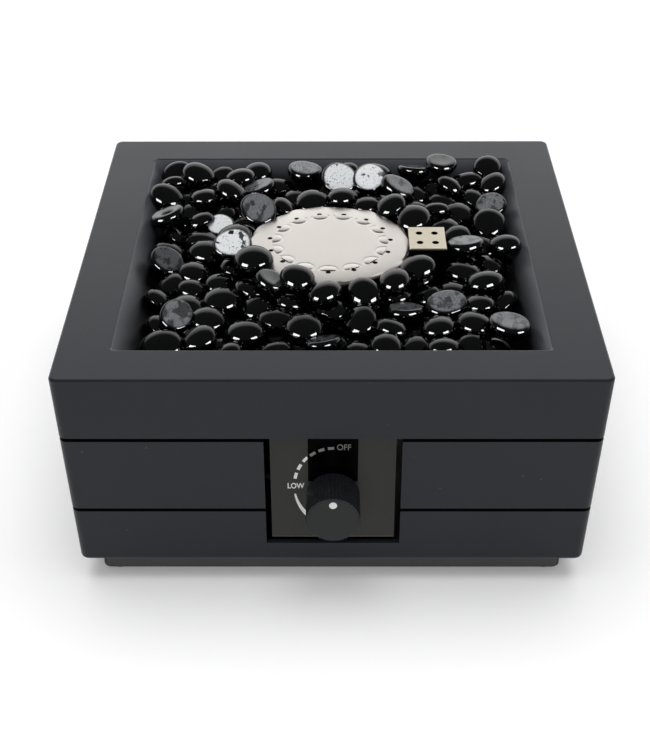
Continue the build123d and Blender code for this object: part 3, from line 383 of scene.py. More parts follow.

# %% [markdown]
# ## Painted sheet
# Powder coat melts into a skin with a faint orange-peel texture, slightly uneven in sheen,
# with a few pale dust specks baked in. The texture is far too fine to model, so fine noise
# makes it: as bump for the peel, and as slow clouds in the roughness and colour. Painted light
# and shade could be drawn on by hand, but the place of a point already says where they go:
# painted shade in the grooves, a painted highlight along the panel's bend, and painted shade
# that deepens down the walls of the well, with a pale painted highlight just under the rim.

# %% Where the paint changes
GROOVES = (RIM_Z - 0.0469, RIM_Z - 0.1052)      # middles of the casing's two grooves
GROOVE_SHADE_HALF = 0.0013
PANEL_BEND = RIM_Z - 0.1306     # where the control panel is bent under
BEND_HIGHLIGHT_HALF = 0.0011              # half the width of the painted highlight along that bend
WELL_HALF = 0.1402              # half the width of the well between its walls
WELL_DEPTH = 0.020              # how much of those walls the glass leaves bare
WELL_SHADE_STOPS = ((0.40, 0.0), (1.0, 1.0))          # from deep painted shade low on those walls to a pale painted highlight at the rim
print("grooves at", [round(level, 4) for level in GROOVES], "bend at", round(PANEL_BEND, 4))


# %% What lies on the paint, and the painted shade in the well
SPECK_CELLS = 170.0     # cells a metre that could hold a speck
SPECK_REACH = 0.10      # radius of a speck, as a share of a cell
SPECKLESS = 0.955       # share of the cells without one


def dust_specks(finish, amount):
    """Small round specks in a few of the cells that the surface is divided into."""
    cells = {"Vector": finish.add("TexCoord", output="Object"), "Scale": SPECK_CELLS}
    to_middle = finish.add("TexVoronoi", None, cells)
    chance = finish.add("SeparateXYZ", None, {0: finish.add("TexVoronoi", None, cells, "Color")})
    return (to_middle < SPECK_REACH) * (chance > SPECKLESS) * amount


def painted_well_shade(finish, height, clouds, coat):
    """The coat with its part inside the well replaced by painted shade, darker downwards, and pale
    at the rim as a painted highlight.
    """
    inside = (finish.within(finish.along("X"), 0.0, WELL_HALF)
              * finish.within(finish.along("Y"), 0.0, WELL_HALF))
    rise = (height - (RIM_Z - WELL_DEPTH)) * (1 / WELL_DEPTH)
    # painted shade down the walls of the well, lightening to a painted highlight at the rim
    shade_mottle = finish.blend(finish.ramp(rise + clouds * 0.1, *WELL_SHADE_STOPS),
                        rgb(5, 5, 6), rgb(76, 79, 84))
    return finish.blend(inside, coat, shade_mottle)


print("specks in", round(100 * (1 - SPECKLESS), 1), "% of the cells")


# %% The powder coat
CLOUD_SIZE = 0.045


def powder_coat(name, colour, roughness, specks, peel=0.0009, sheen=0.35, grooves=(),
                bend_highlight_levels=(), shaded_well=False):
    """Dark paint with orange peel, clouding and specks, painted shade in grooves and in the well,
    and a painted highlight along bends.
    """
    finish = new_finish(name)
    peel_height = finish.noise(peel, 3.0)
    clouds = finish.noise(CLOUD_SIZE, 3.0)
    height = finish.along("Z")
    paint = finish.blend(clouds, shaded(colour, 0.86), shaded(colour, 1.14))
    coat = finish.blend(dust_specks(finish, specks), paint, rgb(120, 122, 125))
    # painted shade: each groove is painted black, where shade falls in it
    for shaded_groove_z in grooves:
        coat = finish.blend(finish.within(height, shaded_groove_z, GROOVE_SHADE_HALF), coat, rgb(1, 1, 1))
    # painted highlight: a pale line along the panel's bend, where it catches the light
    for bend_z in bend_highlight_levels:
        painted_bend_highlight = finish.within(height, bend_z, BEND_HIGHLIGHT_HALF) * (clouds * 0.8 + 0.4)
        coat = finish.blend(painted_bend_highlight, coat, rgb(138, 136, 122))
    if shaded_well:
        coat = painted_well_shade(finish, height, clouds, coat)
    return finish.skin(
        Base_Color=coat,
        Roughness=clouds * 0.12 + peel_height * 0.06 + (roughness - 0.09),
        Specular_IOR_Level=sheen,
        Normal=finish.bump(peel_height, 0.22, 0.0002),
    )


finishes = {
    "casing_paint": powder_coat("casing_paint", rgb(33, 37, 43), 0.31, specks=0.3, sheen=0.34,
                                grooves=GROOVES, shaded_well=True),
    "plinth_paint": powder_coat("plinth_paint", rgb(86, 86, 87), 0.50, specks=0.3),
    "pan_paint": powder_coat("pan_paint", rgb(18, 18, 19), 0.62, specks=0.2),
    "panel_paint": powder_coat("panel_paint", rgb(61, 61, 59), 0.42, specks=0.15, peel=0.0006,
                               sheen=0.2, bend_highlight_levels=(PANEL_BEND,)),
}
print("paints:", sorted(finishes))

# %% [markdown]
# ## Metal
# Bare metal keeps the marks of how it was made: sheet is brushed in one direction, turned
# parts have fine rings, castings have a coarse skin. Real scratches would need more faces
# than the whole model, so noise that is stretched along one axis gives the brushed lines. It
# shifts the roughness a little, and the height by a few microns.


# %% The metals
STAIN_SIZE = 0.012


def bare_metal(name, colour, roughness, stretch=(1, 1, 1), grain=0.0006, mottle=0.10):
    """Metal with drawn or brushed lines and slow mottling."""
    finish = new_finish(name)
    brushing = finish.noise(grain, 2.0, stretch)
    stain = finish.noise(STAIN_SIZE, 4.0)
    return finish.skin(
        Base_Color=finish.blend(stain, shaded(colour, 1 - mottle), colour),
        Metallic=1.0,
        Roughness=brushing * 0.10 + stain * 0.08 + (roughness - 0.09),
        Normal=finish.bump(brushing, 0.12, 0.0001),
    )


finishes.update({
    "stainless": bare_metal("stainless", rgb(234, 229, 223), 0.32, (1, 0.05, 1), mottle=0.06),
    "plate_steel": bare_metal("plate_steel", rgb(176, 177, 174), 0.36, (0.05, 1, 1)),
    "screw_steel": bare_metal("screw_steel", rgb(182, 181, 176), 0.28, grain=0.0003),
    "spring_steel": bare_metal("spring_steel", rgb(170, 171, 172), 0.25, grain=0.0003),
    "brass": bare_metal("brass", rgb(213, 180, 112), 0.26, (1, 0.2, 1), 0.0004),
    "valve_alloy": bare_metal("valve_alloy", rgb(188, 189, 190), 0.42, grain=0.0008, mottle=0.16),
    # painted shade: tubes in this finish are darkened, since they sit in the dark bay behind the
    # panel
    "tube_alloy": bare_metal("tube_alloy", rgb(56, 58, 60), 0.50, (1, 0.15, 1), 0.0004),
    "probe_copper": bare_metal("probe_copper", rgb(196, 132, 92), 0.30, (1, 1, 0.2), 0.0004, 0.2),
})
print("finishes so far:", len(finishes))

# %% [markdown]
# The igniter's cage stands in the flame's edge. Its top stays the colour of warm cream, and
# its sides are painted nearly black as painted shade. The top could be a material of its own,
# but the surface's own upward turn parts the two in one material, with a soft edge.

# %% The smoked cage
CAGE_GRAIN, SHADE_MOTTLE_SIZE = 0.0005, 0.006


def side_shaded_steel():
    """Brushed steel, warm cream on top, with painted shade nearly black on its sides."""
    finish = new_finish("side_shaded_steel")
    brushing = finish.noise(CAGE_GRAIN, 2.0, (1, 0.1, 1))
    shade_mottle = finish.noise(SHADE_MOTTLE_SIZE, 4.0)
    upward = finish.add("SeparateXYZ", None, {0: finish.add("NewGeometry", output="Normal")}, "Z")
    # painted shade: faces that turn away from up are painted nearly black
    lit_top = finish.ramp(upward + shade_mottle * 0.1, (0.35, 0.0), (0.75, 1.0))
    warm = finish.blend(shade_mottle, rgb(214, 205, 184), rgb(232, 225, 204))
    return finish.skin(
        Base_Color=finish.blend(lit_top, rgb(26, 27, 25), warm),
        Metallic=1.0,
        Roughness=brushing * 0.1 + 0.30,
        Normal=finish.bump(brushing, 0.12, 0.0001),
    )


cage_steel = side_shaded_steel()
print(cage_steel.name, "ready")

# %% [markdown]
# ## Plastic, rubber and ceramic
# Moulded parts have no lines, but no part is quite even either: the knob's gloss is broken
# by handling, rubber is dusty, glaze is nearly perfect. Each could have its own recipe, but
# one function covers them, with the size and strength of the unevenness as its arguments.


# %% The moulded materials
FINE_GRAIN = 0.0005
HANDLED_PATCH = 0.009


def moulded(name, colour, roughness, wear=0.06, relief=0.08, sheen=0.5):
    """A non-metal with a fine grain and uneven gloss."""
    finish = new_finish(name)
    fine = finish.noise(FINE_GRAIN, 2.0)
    handling = finish.noise(HANDLED_PATCH, 4.0)
    return finish.skin(
        Base_Color=finish.blend(handling, colour, shaded(colour, 1.15, 0.001)),
        Roughness=handling * wear + fine * 0.05 + (roughness - wear / 2 - 0.025),
        Specular_IOR_Level=sheen,
        Normal=finish.bump(fine, relief, 0.0001),
    )


finishes.update({
    "rubber": moulded("rubber", rgb(30, 30, 30), 0.75, relief=0.3),
    # painted shade: the dial inlay is a black sheet that hardly reflects, put where shade falls
    # above the knob
    "inlay_gloss": moulded("inlay_gloss", rgb(1, 1, 1), 0.25, relief=0.02, sheen=0.02),
    "knob_gloss": moulded("knob_gloss", rgb(26, 27, 30), 0.27, relief=0.05, sheen=0.40),
    "knob_satin": moulded("knob_satin", rgb(57, 58, 58), 0.56, relief=0.15, sheen=0.10),
    "piezo_plastic": moulded("piezo_plastic", rgb(214, 210, 200), 0.35),
    "ceramic": moulded("ceramic", rgb(240, 236, 228), 0.20, wear=0.03),
    "lead_insulation": moulded("lead_insulation", rgb(160, 38, 26), 0.50),
})
print("finishes so far:", len(finishes))

# %% [markdown]
# The dial is printed in white ink. At the top of the dial, over the black inlay, the print is
# painted grey as painted shade, the same shade that the inlay's black stands for. Two materials
# could say that, but the marks run from one ground to the other, so one material turns grey
# above a height and right of a line.

# %% The white print
SHADE_ABOVE_Z = RIM_Z - 0.0685
SHADE_RIGHT_OF_X = -0.0155


def mark_paint():
    """White print, painted grey as painted shade where it lies on the inlay at the dial's top."""
    finish = new_finish("white_mark")
    wear = finish.noise(0.0008, 3.0)
    # painted shade over the print at the top of the dial
    print_in_shade = (finish.along("Z") > SHADE_ABOVE_Z) * (finish.along("X") > SHADE_RIGHT_OF_X)
    fresh = finish.blend(wear, rgb(248, 248, 246), rgb(254, 254, 252))
    return finish.skin(Base_Color=finish.blend(print_in_shade, fresh, rgb(132, 132, 130)),
                       Roughness=wear * 0.1 + 0.5)


finishes["white_mark"] = mark_paint()
print("finishes so far:", len(finishes))

# %% [markdown]
# ## Black glass
# Each drop is poured glass, black right through, with a fire-polished dome and a duller
# base where it lay on the mould. A few bases are crazed with pale cracks. Clear glass with a
# dark volume would be truer, but no light comes out of glass this dark, so a black glossy
# skin looks the same and renders fast. Two numbers stored on the mesh say how much of a
# point is base and how much of it is crazed.

# %% The glass
CRACK_CELLS = 420.0     # cells a metre that the cracks run between
BLACK, NEAR_BLACK = rgb(1, 1, 2), rgb(5, 6, 7)
DULL, FROSTED = rgb(70, 74, 77), rgb(136, 140, 143)
CRACK_GREY, CRAZED_WHITE = rgb(44, 48, 52), rgb(226, 229, 231)

glass = new_finish("fire_glass")
base_share = glass.add("Attribute", {"attribute_name": "base"}, output="Fac")
craze_share = glass.add("Attribute", {"attribute_name": "craze"}, output="Fac")
ripple = glass.noise(0.004, 2.0)
haze = glass.noise(0.0012, 3.0)
cracks = glass.add("TexVoronoi", {"feature": "DISTANCE_TO_EDGE"},
                   {"Vector": glass.add("TexCoord", output="Object"), "Scale": CRACK_CELLS})
chips = glass.ramp(cracks * 0.8 + haze * 0.6, (0.22, 0.0), (0.30, 1.0))
patches = glass.ramp(glass.noise(0.0065, 3.0, (1, 0.6, 1)), (0.43, 0.0), (0.50, 1.0))
whitened = glass.ramp(glass.noise(0.010, 3.0), (0.37, 0.0), (0.40, 1.0))
plain_drop = glass.blend(base_share * (patches * 0.75 + 0.25),
                         glass.blend(ripple, BLACK, NEAR_BLACK),
                         glass.blend(haze, DULL, FROSTED))
finishes["fire_glass"] = glass.skin(
    Base_Color=glass.blend(craze_share * whitened, plain_drop,
                           glass.blend(chips, CRACK_GREY, CRAZED_WHITE)),
    Roughness=base_share * (haze * 0.12 + 0.20) + 0.05,
    IOR=1.52,
    Normal=glass.bump(ripple + base_share * haze, 0.06, 0.0006),
)
print("glass ready, finishes:", len(finishes))

# %% [markdown]
# ## Finishes on to the solids
# Each solid could be given its finish by name, but the imported record names a material slot
# for every node, so one loop dresses them all. The igniter's cage shares its slot with other
# steel and gets its finish with painted shade on its sides after that.

# %% Dress the solids
slot_of = {part["node"]: part["material_slot"] for part in frame["record"]["subparts"]}
for name, node in nodes.items():
    node.data.materials.clear()
    node.data.materials.append(finishes[slot_of[name]])
nodes["igniter_shroud"].data.materials[0] = cage_steel
print("dressed:", len(slot_of), "nodes in", len(set(slot_of.values())), "finishes")

# %% [markdown]
# ## Making a piece
# Every new piece goes the same way: a mesh in metres in the model's own frame, a finish, a
# body to ride on, and where it stands for a plain solid, the node that it replaces. All of
# them belong to the part that stands still, so they ride on that body.


# %% Helpers for new pieces
def dress(name, mesh, slot, stands_for=()):
    """An object in a finish, riding on the still body, and standing for nodes if any."""
    mesh.materials.clear()
    mesh.materials.append(finishes[slot])
    made = add_object(name, mesh)
    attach(made, "fire_pit")
    if stands_for:
        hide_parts(*stands_for)
    return made


def piece(name, points, faces, slot, stands_for=(), smooth=True):
    """A dressed piece from its points and faces."""
    mesh = bpy.data.meshes.new(name)
    mesh.from_pydata([tuple(point) for point in points], [], faces)
    mesh.validate()
    made = dress(name, mesh, slot, stands_for)
    mesh.shade_smooth() if smooth else mesh.shade_flat()
    return made


print("new pieces ride on fire_pit")

# %% [markdown]
# ## Fire glass
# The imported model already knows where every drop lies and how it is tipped: each is a
# faceted solid. A rigid-body fall could pile up new drops, but they would lie elsewhere than
# the solids. So the corners of each solid give the drop's axis, size and place.


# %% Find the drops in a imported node
def separate_solids(node):
    """The corner points of each closed solid in a node's mesh."""
    mesh = node.data
    corners = np.empty(3 * len(mesh.vertices))
    mesh.vertices.foreach_get("co", corners)
    corners, index = np.unique(np.round(corners.reshape(-1, 3), 6), axis=0, return_inverse=True)
    index = index.ravel()
    group = np.arange(len(corners))

    def root(item):
        while group[item] != item:
            group[item] = group[group[item]]
            item = group[item]
        return item

    for polygon in mesh.polygons:
        first, *others = [index[vertex] for vertex in polygon.vertices]
        for other in others:
            group[root(other)] = root(first)
    roots = np.array([root(item) for item in range(len(corners))])
    return [corners[roots == label] for label in np.unique(roots)]


RING_SLICE = 0.0005     # corners this near to an end belong to its ring


def drop_pose(corners):
    """Base centre, axis from base to dome, radius and height of one faceted drop."""
    middle = corners.mean(axis=0)
    axis = np.linalg.eigh(np.cov((corners - middle).T))[1][:, 0]
    along = (corners - middle) @ axis
    out = np.linalg.norm(corners - middle - np.outer(along, axis), axis=1)
    low = out[along < along.min() + RING_SLICE].max()
    high = out[along > along.max() - RING_SLICE].max()
    if high > low:
        axis, along = -axis, -along
    height = along.max() - along.min()
    return middle + axis * along.min(), axis, out.max(), height


packed_drops = {name: separate_solids(node) for name, node in sorted(nodes.items())
                if name.startswith("fire_glass")}
print("drops:", {name: len(drops) for name, drops in packed_drops.items()})

# %% [markdown]
# A drop's section is a short list of rings: share of the radius, share of the height. The
# first rings are its base, slightly hollow, then come a round shoulder and a dome. Every
# drop uses the same rings and the same faces.

# %% The drop's section and faces
DROP_SIDES = 28
DROP_RINGS = ((0.30, 0.022), (0.62, 0.008), (0.80, 0.0), (0.90, 0.035), (0.965, 0.12),
              (1.0, 0.27), (0.985, 0.41), (0.93, 0.56), (0.83, 0.70), (0.68, 0.82),
              (0.48, 0.92), (0.25, 0.98))
BASE_RINGS = 3
BASE_HOLLOW = 0.03      # rise of the base's middle, as a share of the drop's height
DROP_GROWTH = 1.05      # a round drop reaches a little beyond the faceted one


def drop_faces():
    """The faces of a drop: a fan over the base, a band between rings, a fan over the top."""
    last = 1 + len(DROP_RINGS) * DROP_SIDES
    top = last - DROP_SIDES
    faces = []
    for step in range(DROP_SIDES):
        after = (step + 1) % DROP_SIDES
        faces.append((0, 1 + after, 1 + step))
        for ring in range(len(DROP_RINGS) - 1):
            low, high = 1 + ring * DROP_SIDES, 1 + (ring + 1) * DROP_SIDES
            faces.append((low + step, low + after, high + after, high + step))
        faces.append((top + step, top + after, last))
    return faces


DROP_FACES = drop_faces()
print("faces a drop:", len(DROP_FACES))

# %% [markdown]
# Some drops on top lie on their domes with the flat base up, and four of those are crazed.
# Chance could choose them, but they catch the eye, so each is chosen by its place in plan.

# %% Which drops lie base up
CRAZED_AT = ((-0.092, 0.038), (-0.077, -0.016), (0.004, 0.094), (0.032, 0.103))
FLAT_UP_AT = ((-0.119, -0.086), (-0.048, 0.105), (-0.035, -0.060), (0.089, 0.130),
              (0.061, 0.074), (0.099, 0.004), (0.022, 0.088), (-0.124, 0.012), (-0.111, -0.008),
              (0.122, 0.057), (0.036, -0.071), (0.077, -0.081), (0.056, 0.118), (-0.010, 0.120),
              (-0.060, 0.060), (-0.070, 0.000), (0.110, -0.110), (-0.120, 0.050), (0.010, -0.118))
PILE_TOP_Z = RIM_Z - 0.0125     # a drop with its middle under this is hidden by others
OUT_OF_REACH = 1.0              # hidden drops count as being this far away


def nearest_on_top(drops, places):
    """For each place in plan, the number of the nearest drop that lies high in the pile."""
    plan = np.array([corners.mean(axis=0) for corners in drops])
    plan[plan[:, 2] < PILE_TOP_Z, :2] += OUT_OF_REACH
    return {int(np.argmin(np.hypot(plan[:, 0] - x, plan[:, 1] - y))) for x, y in places}


crazed_drops = nearest_on_top(packed_drops["fire_glass_upper"], CRAZED_AT)
flat_drops = crazed_drops | nearest_on_top(packed_drops["fire_glass_upper"], FLAT_UP_AT)
print("base up:", len(flat_drops), "crazed:", len(crazed_drops))

# %% [markdown]
# Numbers from a seeded generator rock each drop, put its outline out of round and shift its
# dome, since poured drops are never true. Drops that lie base up are tipped to the front
# instead, the crazed ones most.

# %% Tip and turn a drop
LAID_OPEN = np.array((0.0, 0.80, -0.60))    # axis of a drop that shows its base to the front
CRAZED_TIP, FLAT_TIP = 0.62, 0.30           # share of the way there: crazed, and other at most
TIP_LIFT = np.array((0.0, 0.0, 0.004))      # a tipped drop leans up on its neighbours
DROP_ROCK = 0.16                            # the most that a plain drop's axis is put off
OVAL, CORNERED, LEAN = 0.10, 0.030, 0.10    # the most by which a drop is out of true
SIDEWAYS = (0.3, 0.9, 0.1)                  # a direction that no drop's axis has
dice = np.random.default_rng(41)


def tipped(middle, axis, flat_up, crazed):
    """The middle and axis of a drop once it is rocked, or flipped and tipped to the front."""
    if flat_up:
        tip = CRAZED_TIP if crazed else dice.uniform(0.0, FLAT_TIP)
        middle = middle + TIP_LIFT * tip
        axis = LAID_OPEN * tip - axis * (1 - tip)
    else:
        axis = axis + dice.uniform(-DROP_ROCK, DROP_ROCK, 3)
    return middle, axis / np.linalg.norm(axis)


def drop_points(middle, axis, radius, height):
    """The points of a smooth drop, from its base along its axis, kept under the top of the box."""
    foot = middle - axis * height / 2
    side = np.cross(axis, SIDEWAYS)
    side = side / np.linalg.norm(side)
    other = np.cross(axis, side)
    angles = 2 * pi * np.arange(DROP_SIDES) / DROP_SIDES
    oval, cornered = dice.uniform(0.0, OVAL), dice.uniform(0.0, CORNERED)
    turn, twist = dice.uniform(0, 2 * pi, 2)
    outline = 1 + oval * np.cos(2 * angles + turn) + cornered * np.cos(3 * angles + twist)
    outline = outline * DROP_GROWTH * radius / outline.mean()
    lean = dice.uniform(-LEAN, LEAN, 2) * radius
    points = [foot + axis * height * BASE_HOLLOW]
    for share, level in DROP_RINGS:
        reach = share * outline
        centre = foot + axis * level * height + (side * lean[0] + other * lean[1]) * level
        points.extend(centre + np.outer(reach * np.cos(angles), side)
                      + np.outer(reach * np.sin(angles), other))
    points.append(foot + axis * height + side * lean[0] + other * lean[1])
    above = max(0.0, max(point[2] for point in points) - start_bounds[1].z)
    return [point - np.array((0.0, 0.0, above)) for point in points]


print("drops rock by up to", DROP_ROCK, "and are oval by up to", OVAL)

# %% [markdown]
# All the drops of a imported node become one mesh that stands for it. One object for each drop
# would do, but two hundred are clumsy to handle. Each point carries its share of base, as
# dull as chance makes it, and of crazing.

# %% Pour the glass
DULLNESS = (0.1, 1.0)


def pour(layer):
    """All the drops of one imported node, as one mesh that stands for it."""
    points, faces, base, craze = [], [], [], []
    upper = layer.endswith("upper")
    for number, corners in enumerate(packed_drops[layer]):
        flat_up, crazed = (upper and number in chosen for chosen in (flat_drops, crazed_drops))
        foot, axis, radius, height = drop_pose(corners)
        middle, axis = tipped(foot + axis * height / 2, axis, flat_up, crazed)
        faces.extend(tuple(len(points) + vertex for vertex in face) for face in DROP_FACES)
        drop = drop_points(middle, axis, radius, height)
        points.extend(drop)
        in_base = (np.arange(len(drop)) <= BASE_RINGS * DROP_SIDES).astype(float)
        base.extend(in_base * dice.uniform(*DULLNESS))
        craze.extend(in_base * crazed)
    made = piece(layer.replace("fire_glass", "glass_drops"), points, faces, "fire_glass",
                 stands_for=[layer])
    for name, values in (("base", base), ("craze", craze)):
        made.data.attributes.new(name, "FLOAT", "POINT").data.foreach_set("value", values)
    return made


for layer in packed_drops:
    poured = pour(layer)
    print(poured.name, "faces:", len(poured.data.polygons))

# %% [markdown]
# ## The burner lid
# The lid is one stamped disc. Fifteen small scallops are pushed up out of it. Each rises
# outwards, ends in a steep mouth before a round gas port, and has a fine pressed line round
# its foot. The disc is very slightly crowned, and its edge is folded over the bowl below by
# hand, so it is not quite round. A bump map could draw the scallops, but they stand up at a
# low angle of view, so the disc is made as rings of points: one function gives the height of
# a scallop, another the crown, a third the wobble of the edge.

# %% The lid's measures
lid_low, lid_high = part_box("burner_lid")
LID_X = (lid_low.x + lid_high.x) / 2
LID_RADIUS = (lid_high.x - lid_low.x) / 2
LID_SHEET = 0.0008
CROWN_TOP = lid_high.z - 0.0013
EDGE_TOP = CROWN_TOP - 0.0014
CROWN_POWER = 6         # the higher, the flatter the middle
PORT_COUNT = 15
PORT_CIRCLE = 0.0434
PORT_START = radians(4.4)
PORT_RADIUS = 0.0018
SCALLOP_HEIGHT = 0.0006
SCALLOP_MOUTH = 0.0412
SCALLOP_HALF_WIDTH = 0.0056
SCALLOP_DEPTH = 0.0058
SCALLOP_LINE = 0.28     # width of the pressed line, as a share of the scallop
LINE_DEPTH = 0.25       # its depth, as a share of the scallop's height
print("lid radius", round(LID_RADIUS * 1000, 1), "mm, crown at", round(CROWN_TOP * 1000, 1))


# %% The lid's heights
def scallop_rise(distance, angle):
    """Height of the nearest scallop over the crown, with the pressed line round its foot."""
    pitch = 2 * pi / PORT_COUNT
    off = (angle - PORT_START + pitch / 2) % pitch - pitch / 2
    across = distance * off / SCALLOP_HALF_WIDTH
    inward = (SCALLOP_MOUTH - distance) / SCALLOP_DEPTH
    out = hypot(across, inward)
    if inward < 0:
        return 0.0
    if out < 1:
        return SCALLOP_HEIGHT * (1 - out * out) ** 0.6
    if out < 1 + SCALLOP_LINE:
        return -LINE_DEPTH * SCALLOP_HEIGHT * sin(pi * (out - 1) / SCALLOP_LINE)
    return 0.0


def crown(distance):
    """The lid's height at a distance from its axis: nearly flat, then falling to the edge."""
    return CROWN_TOP - (CROWN_TOP - EDGE_TOP) * (distance / LID_RADIUS) ** CROWN_POWER


EDGE_WOBBLE = 0.00042
EDGE_WAVES = ((1.0, 7, 0.6), (0.8, 12, 2.1), (0.6, 19, 0.0))   # size, waves a turn, start


def edge_wobble(angle):
    """How far the folded edge is from a true circle there."""
    return EDGE_WOBBLE * sum(size * sin(waves * angle + start)
                             for size, waves, start in EDGE_WAVES)


print("a scallop's top:", round(scallop_rise(SCALLOP_MOUTH, PORT_START) * 1000, 2), "mm up")

# %% [markdown]
# The rings are close together where the shape changes fast: over the scallops, round the
# ports and at the rolled edge. The last ring is the hem, straight down from the edge.

# %% Stamp the lid
LID_SIDES = PORT_COUNT * 36                 # 36 steps from one port to the next
SCALLOP_RINGS = 12
INNER_REACHES = [0.004 * step for step in range(1, 9)]
SCALLOP_REACHES = [SCALLOP_MOUTH - SCALLOP_DEPTH * step / SCALLOP_RINGS
                   for step in range(SCALLOP_RINGS + 4, -1, -1)]
OUTER_REACHES = (0.0414, 0.0420, 0.0433, 0.0445, 0.0465, 0.0485, 0.0505, 0.0525, 0.0545, 0.0558)
EDGE_PROUD = 0.0003     # the middle of the wobble lies this far beyond the solid's edge
EDGE_FLUTTER = 0.5      # the edge goes up and down by this share of its wobble
ROLL_WIDTH, ROLL_DROP = 0.0010, 0.0007
HEM_DEPTH = 0.0020
RINGS = ([("crown", reach) for reach in INNER_REACHES]
         + [("scallop", reach) for reach in SCALLOP_REACHES]
         + [("crown", reach) for reach in OUTER_REACHES]
         + [("roll", -ROLL_WIDTH), ("roll", -0.4 * ROLL_WIDTH), ("roll", 0.0), ("hem", 0.0)])


def lid_point(kind, distance, angle):
    """A point of the lid. The roll's and the hem's distances count from the lid's edge."""
    reach, height = distance, crown(distance)
    if kind == "scallop":
        height += scallop_rise(distance, angle)
    elif kind in ("roll", "hem"):
        reach = LID_RADIUS + EDGE_PROUD + distance + edge_wobble(angle)
        drop = HEM_DEPTH if kind == "hem" else ROLL_DROP * (1 + distance / ROLL_WIDTH) ** 2
        height = EDGE_TOP - drop + edge_wobble(angle + 1) * EDGE_FLUTTER
    return LID_X + reach * cos(angle), reach * sin(angle), height


lid_points = [(LID_X, 0.0, CROWN_TOP)]
lid_points += [lid_point(kind, distance, 2 * pi * step / LID_SIDES)
               for kind, distance in RINGS for step in range(LID_SIDES)]
lid_faces = []
for ring in range(len(RINGS) - 1):
    for step in range(LID_SIDES):
        after = (step + 1) % LID_SIDES
        low, high = 1 + ring * LID_SIDES, 1 + (ring + 1) * LID_SIDES
        lid_faces.append((low + step, high + step, high + after, low + after))
lid_faces += [(0, 1 + step, 1 + (step + 1) % LID_SIDES) for step in range(LID_SIDES)]
lid = piece("stamped_lid", lid_points, lid_faces, "stainless", stands_for=["burner_lid"])
print("lid points:", len(lid_points))

# %% [markdown]
# A modifier gives the sheet its thickness. The ports could be made by leaving out faces, but
# their edges would be ragged, so they are drilled through the sheet with one cutter made of
# fifteen pins.


# %% Give the lid its thickness and ports
def apply_modifiers(made):
    """Replace an object's mesh with what its modifiers make of it."""
    bpy.context.view_layer.update()
    evaluated = made.evaluated_get(bpy.context.evaluated_depsgraph_get())
    shaped = bpy.data.meshes.new_from_object(evaluated)
    made.modifiers.clear()
    made.data = shaped


thick = lid.modifiers.new("thick", "SOLIDIFY")
thick.thickness = LID_SHEET
thick.offset = -1.0
apply_modifiers(lid)

PIN_LENGTH, PIN_SIDES = 0.004, 18
SHARP_BEND = radians(38)
pins = bmesh.new()
for port in range(PORT_COUNT):
    angle = PORT_START + 2 * pi * port / PORT_COUNT
    spot = (LID_X + PORT_CIRCLE * cos(angle), PORT_CIRCLE * sin(angle), crown(PORT_CIRCLE))
    bmesh.ops.create_cone(pins, cap_ends=True, segments=PIN_SIDES, radius1=PORT_RADIUS,
                          radius2=PORT_RADIUS, depth=PIN_LENGTH,
                          matrix=Matrix.Translation(spot))
pin_mesh = bpy.data.meshes.new("port_pins")
pins.to_mesh(pin_mesh)
pins.free()
cutter = add_object("port_pins", pin_mesh)
drill = lid.modifiers.new("drill", "BOOLEAN")
drill.operation = "DIFFERENCE"
drill.solver = "EXACT"
drill.object = cutter
apply_modifiers(lid)
bpy.data.objects.remove(cutter)
lid.data.shade_smooth()
lid.data.set_sharp_from_angle(angle=SHARP_BEND)
print("lid faces:", len(lid.data.polygons))

# %% [markdown]
# ## The dial print
# The panel carries a printed dial: dashes from OFF round to LOW, then a wedge that grows
# towards the strongest flame. An image could be laid on the panel, but it would blur close
# up. Print is a film of paint, so each mark is a thin plate that stands a hair proud of what
# it is printed on.

# %% Where the print lies
inlay_low, inlay_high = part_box("dial_inlay")
PANEL_FRONT, INLAY_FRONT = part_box("control_panel")[0].y, inlay_low.y
INK = 0.00006           # how far the ink stands proud
INK_PLATE = 0.8 * INK   # thickness of a mark, so that its back stays clear of the panel
DIAL_X, DIAL_Z = 0.001, RIM_Z - 0.0875
DIAL_ACROSS, DIAL_UP = 0.0252, 0.0313       # half width and half height of the dial's oval
print("panel face at", round(PANEL_FRONT * 1000, 2), "inlay face at", round(INLAY_FRONT * 1000, 2))


def dial_point(degrees, offset=0.0):
    """A point on the dial's oval, counted from the top towards the left."""
    turn = radians(degrees)
    return (DIAL_X - (DIAL_ACROSS + offset) * sin(turn), DIAL_Z + (DIAL_UP + offset) * cos(turn))


def arc_mark(first, last, start_width, end_width, steps):
    """Front outline of a mark along the oval, from one angle to another."""
    outer, inner = [], []
    for step in range(steps + 1):
        share = step / steps
        width = start_width + (end_width - start_width) * share
        angle = first + (last - first) * share
        outer.append(dial_point(angle, width / 2))
        inner.append(dial_point(angle, -width / 2))
    return outer + inner[::-1]


# %% Print the marks
def printed(name, outlines):
    """Thin plates of ink with these outlines, on the panel or the inlay, whichever is there."""
    points, faces = [], []
    for outline in outlines:
        middle = sum(x for x, _ in outline) / len(outline)
        on_inlay = inlay_low.x < middle < inlay_high.x
        front = (INLAY_FRONT if on_inlay else PANEL_FRONT) - INK
        start, count = len(points), len(outline)
        points.extend((x, front, z) for x, z in outline)
        points.extend((x, front + INK_PLATE, z) for x, z in outline)
        for step in range(count // 2 - 1):
            faces.append((start + step, start + step + 1, start + count - 2 - step,
                          start + count - 1 - step))
        for step in range(count):
            after = (step + 1) % count
            faces.append((start + step, start + count + step, start + count + after,
                          start + after))
    return piece(name, points, faces, "white_mark", smooth=False)


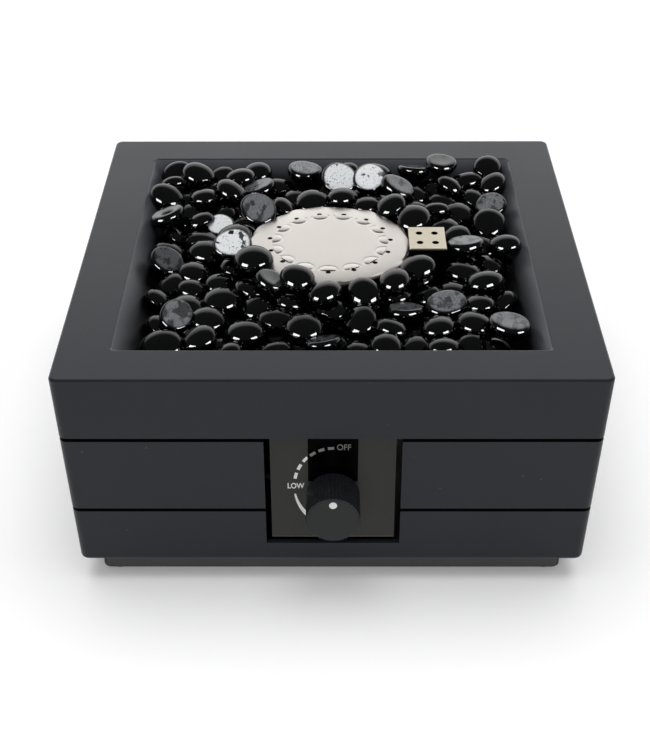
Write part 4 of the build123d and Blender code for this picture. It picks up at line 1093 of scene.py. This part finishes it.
DASH_COUNT, FIRST_DASH, DASH_PITCH, DASH_HALF = 6, 3.0, 14.1, 4.5      # angles in degrees
DASH_WIDTH = 0.0021
WEDGE_START, WEDGE_END = 101, 141
WEDGE_THIN, WEDGE_THICK = 0.0011, 0.0033
dash_middles = [FIRST_DASH + DASH_PITCH * dash for dash in range(DASH_COUNT)]
dashes = printed("dial_dashes", [
    arc_mark(middle - DASH_HALF, middle + DASH_HALF, DASH_WIDTH, DASH_WIDTH, 4)
    for middle in dash_middles])
wedge = printed("dial_wedge", [
    arc_mark(WEDGE_START, WEDGE_END, WEDGE_THIN, WEDGE_THICK, 14)])
print("dashes:", len(dashes.data.polygons), "wedge:", len(wedge.data.polygons))

# %% [markdown]
# Letters could be drawn point by point, but Blender's own typeface has them already. Text
# objects are turned to face the front and made into meshes as thin as the rest of the print.
# The dial's letters are narrower than the typeface's, so they are squeezed, and made bolder.

# %% Letter the dial
CAPITAL_SHARE = 0.70    # height of a capital, as a share of the typeface's size


def lettering(name, words, x, z, height, face, bolder, squeeze):
    """Raised letters on a face, centred on a point."""
    curve = bpy.data.curves.new(name, "FONT")
    curve.body = words
    curve.size = height / CAPITAL_SHARE
    curve.align_x, curve.align_y = "CENTER", "CENTER"
    curve.extrude = INK / 2
    curve.offset = bolder
    writer = add_object(name + "_writer", curve)
    bpy.context.view_layer.update()
    mesh = bpy.data.meshes.new_from_object(writer)
    mesh.transform(Matrix.Translation((x, face - INK / 2, z)) @ Matrix.Rotation(pi / 2, 4, "X")
                   @ Matrix.Diagonal((squeeze, 1, 1, 1)))
    bpy.data.objects.remove(writer)
    return dress(name, mesh, "white_mark")


low_word = lettering("dial_low", "LOW", x=DIAL_X - 0.0243, z=DIAL_Z + 0.0004, height=0.0043,
                     face=PANEL_FRONT, bolder=0.00012, squeeze=0.76)
off_word = lettering("dial_off", "OFF", x=DIAL_X + 0.0070, z=DIAL_Z + DIAL_UP + 0.0006,
                     height=0.0045, face=INLAY_FRONT, bolder=0.00002, squeeze=0.82)
print("lettered:", low_word.name, off_word.name)

# %% [markdown]
# ## What the soft boxes light
# The two soft boxes are there for the sparkle on the glass. Their mirror image in satin
# paint or in the lid would glare when seen from behind. Weaker boxes would spoil the
# sparkle, so light linking keeps them to the glossy pieces.

# %% Link the soft boxes to the glossy pieces
glossy = [finishes[slot] for slot in ("fire_glass", "knob_gloss", "brass")]
sparkle = bpy.data.collections.new("lit_by_soft_boxes")
for thing in bpy.data.objects:
    if thing.type == "MESH" and any(finish in glossy for finish in thing.data.materials):
        sparkle.objects.link(thing)
for soft_box in soft_boxes:
    soft_box.light_linking.receiver_collection = sparkle

# %% Close the scene
bpy.context.view_layer.update()
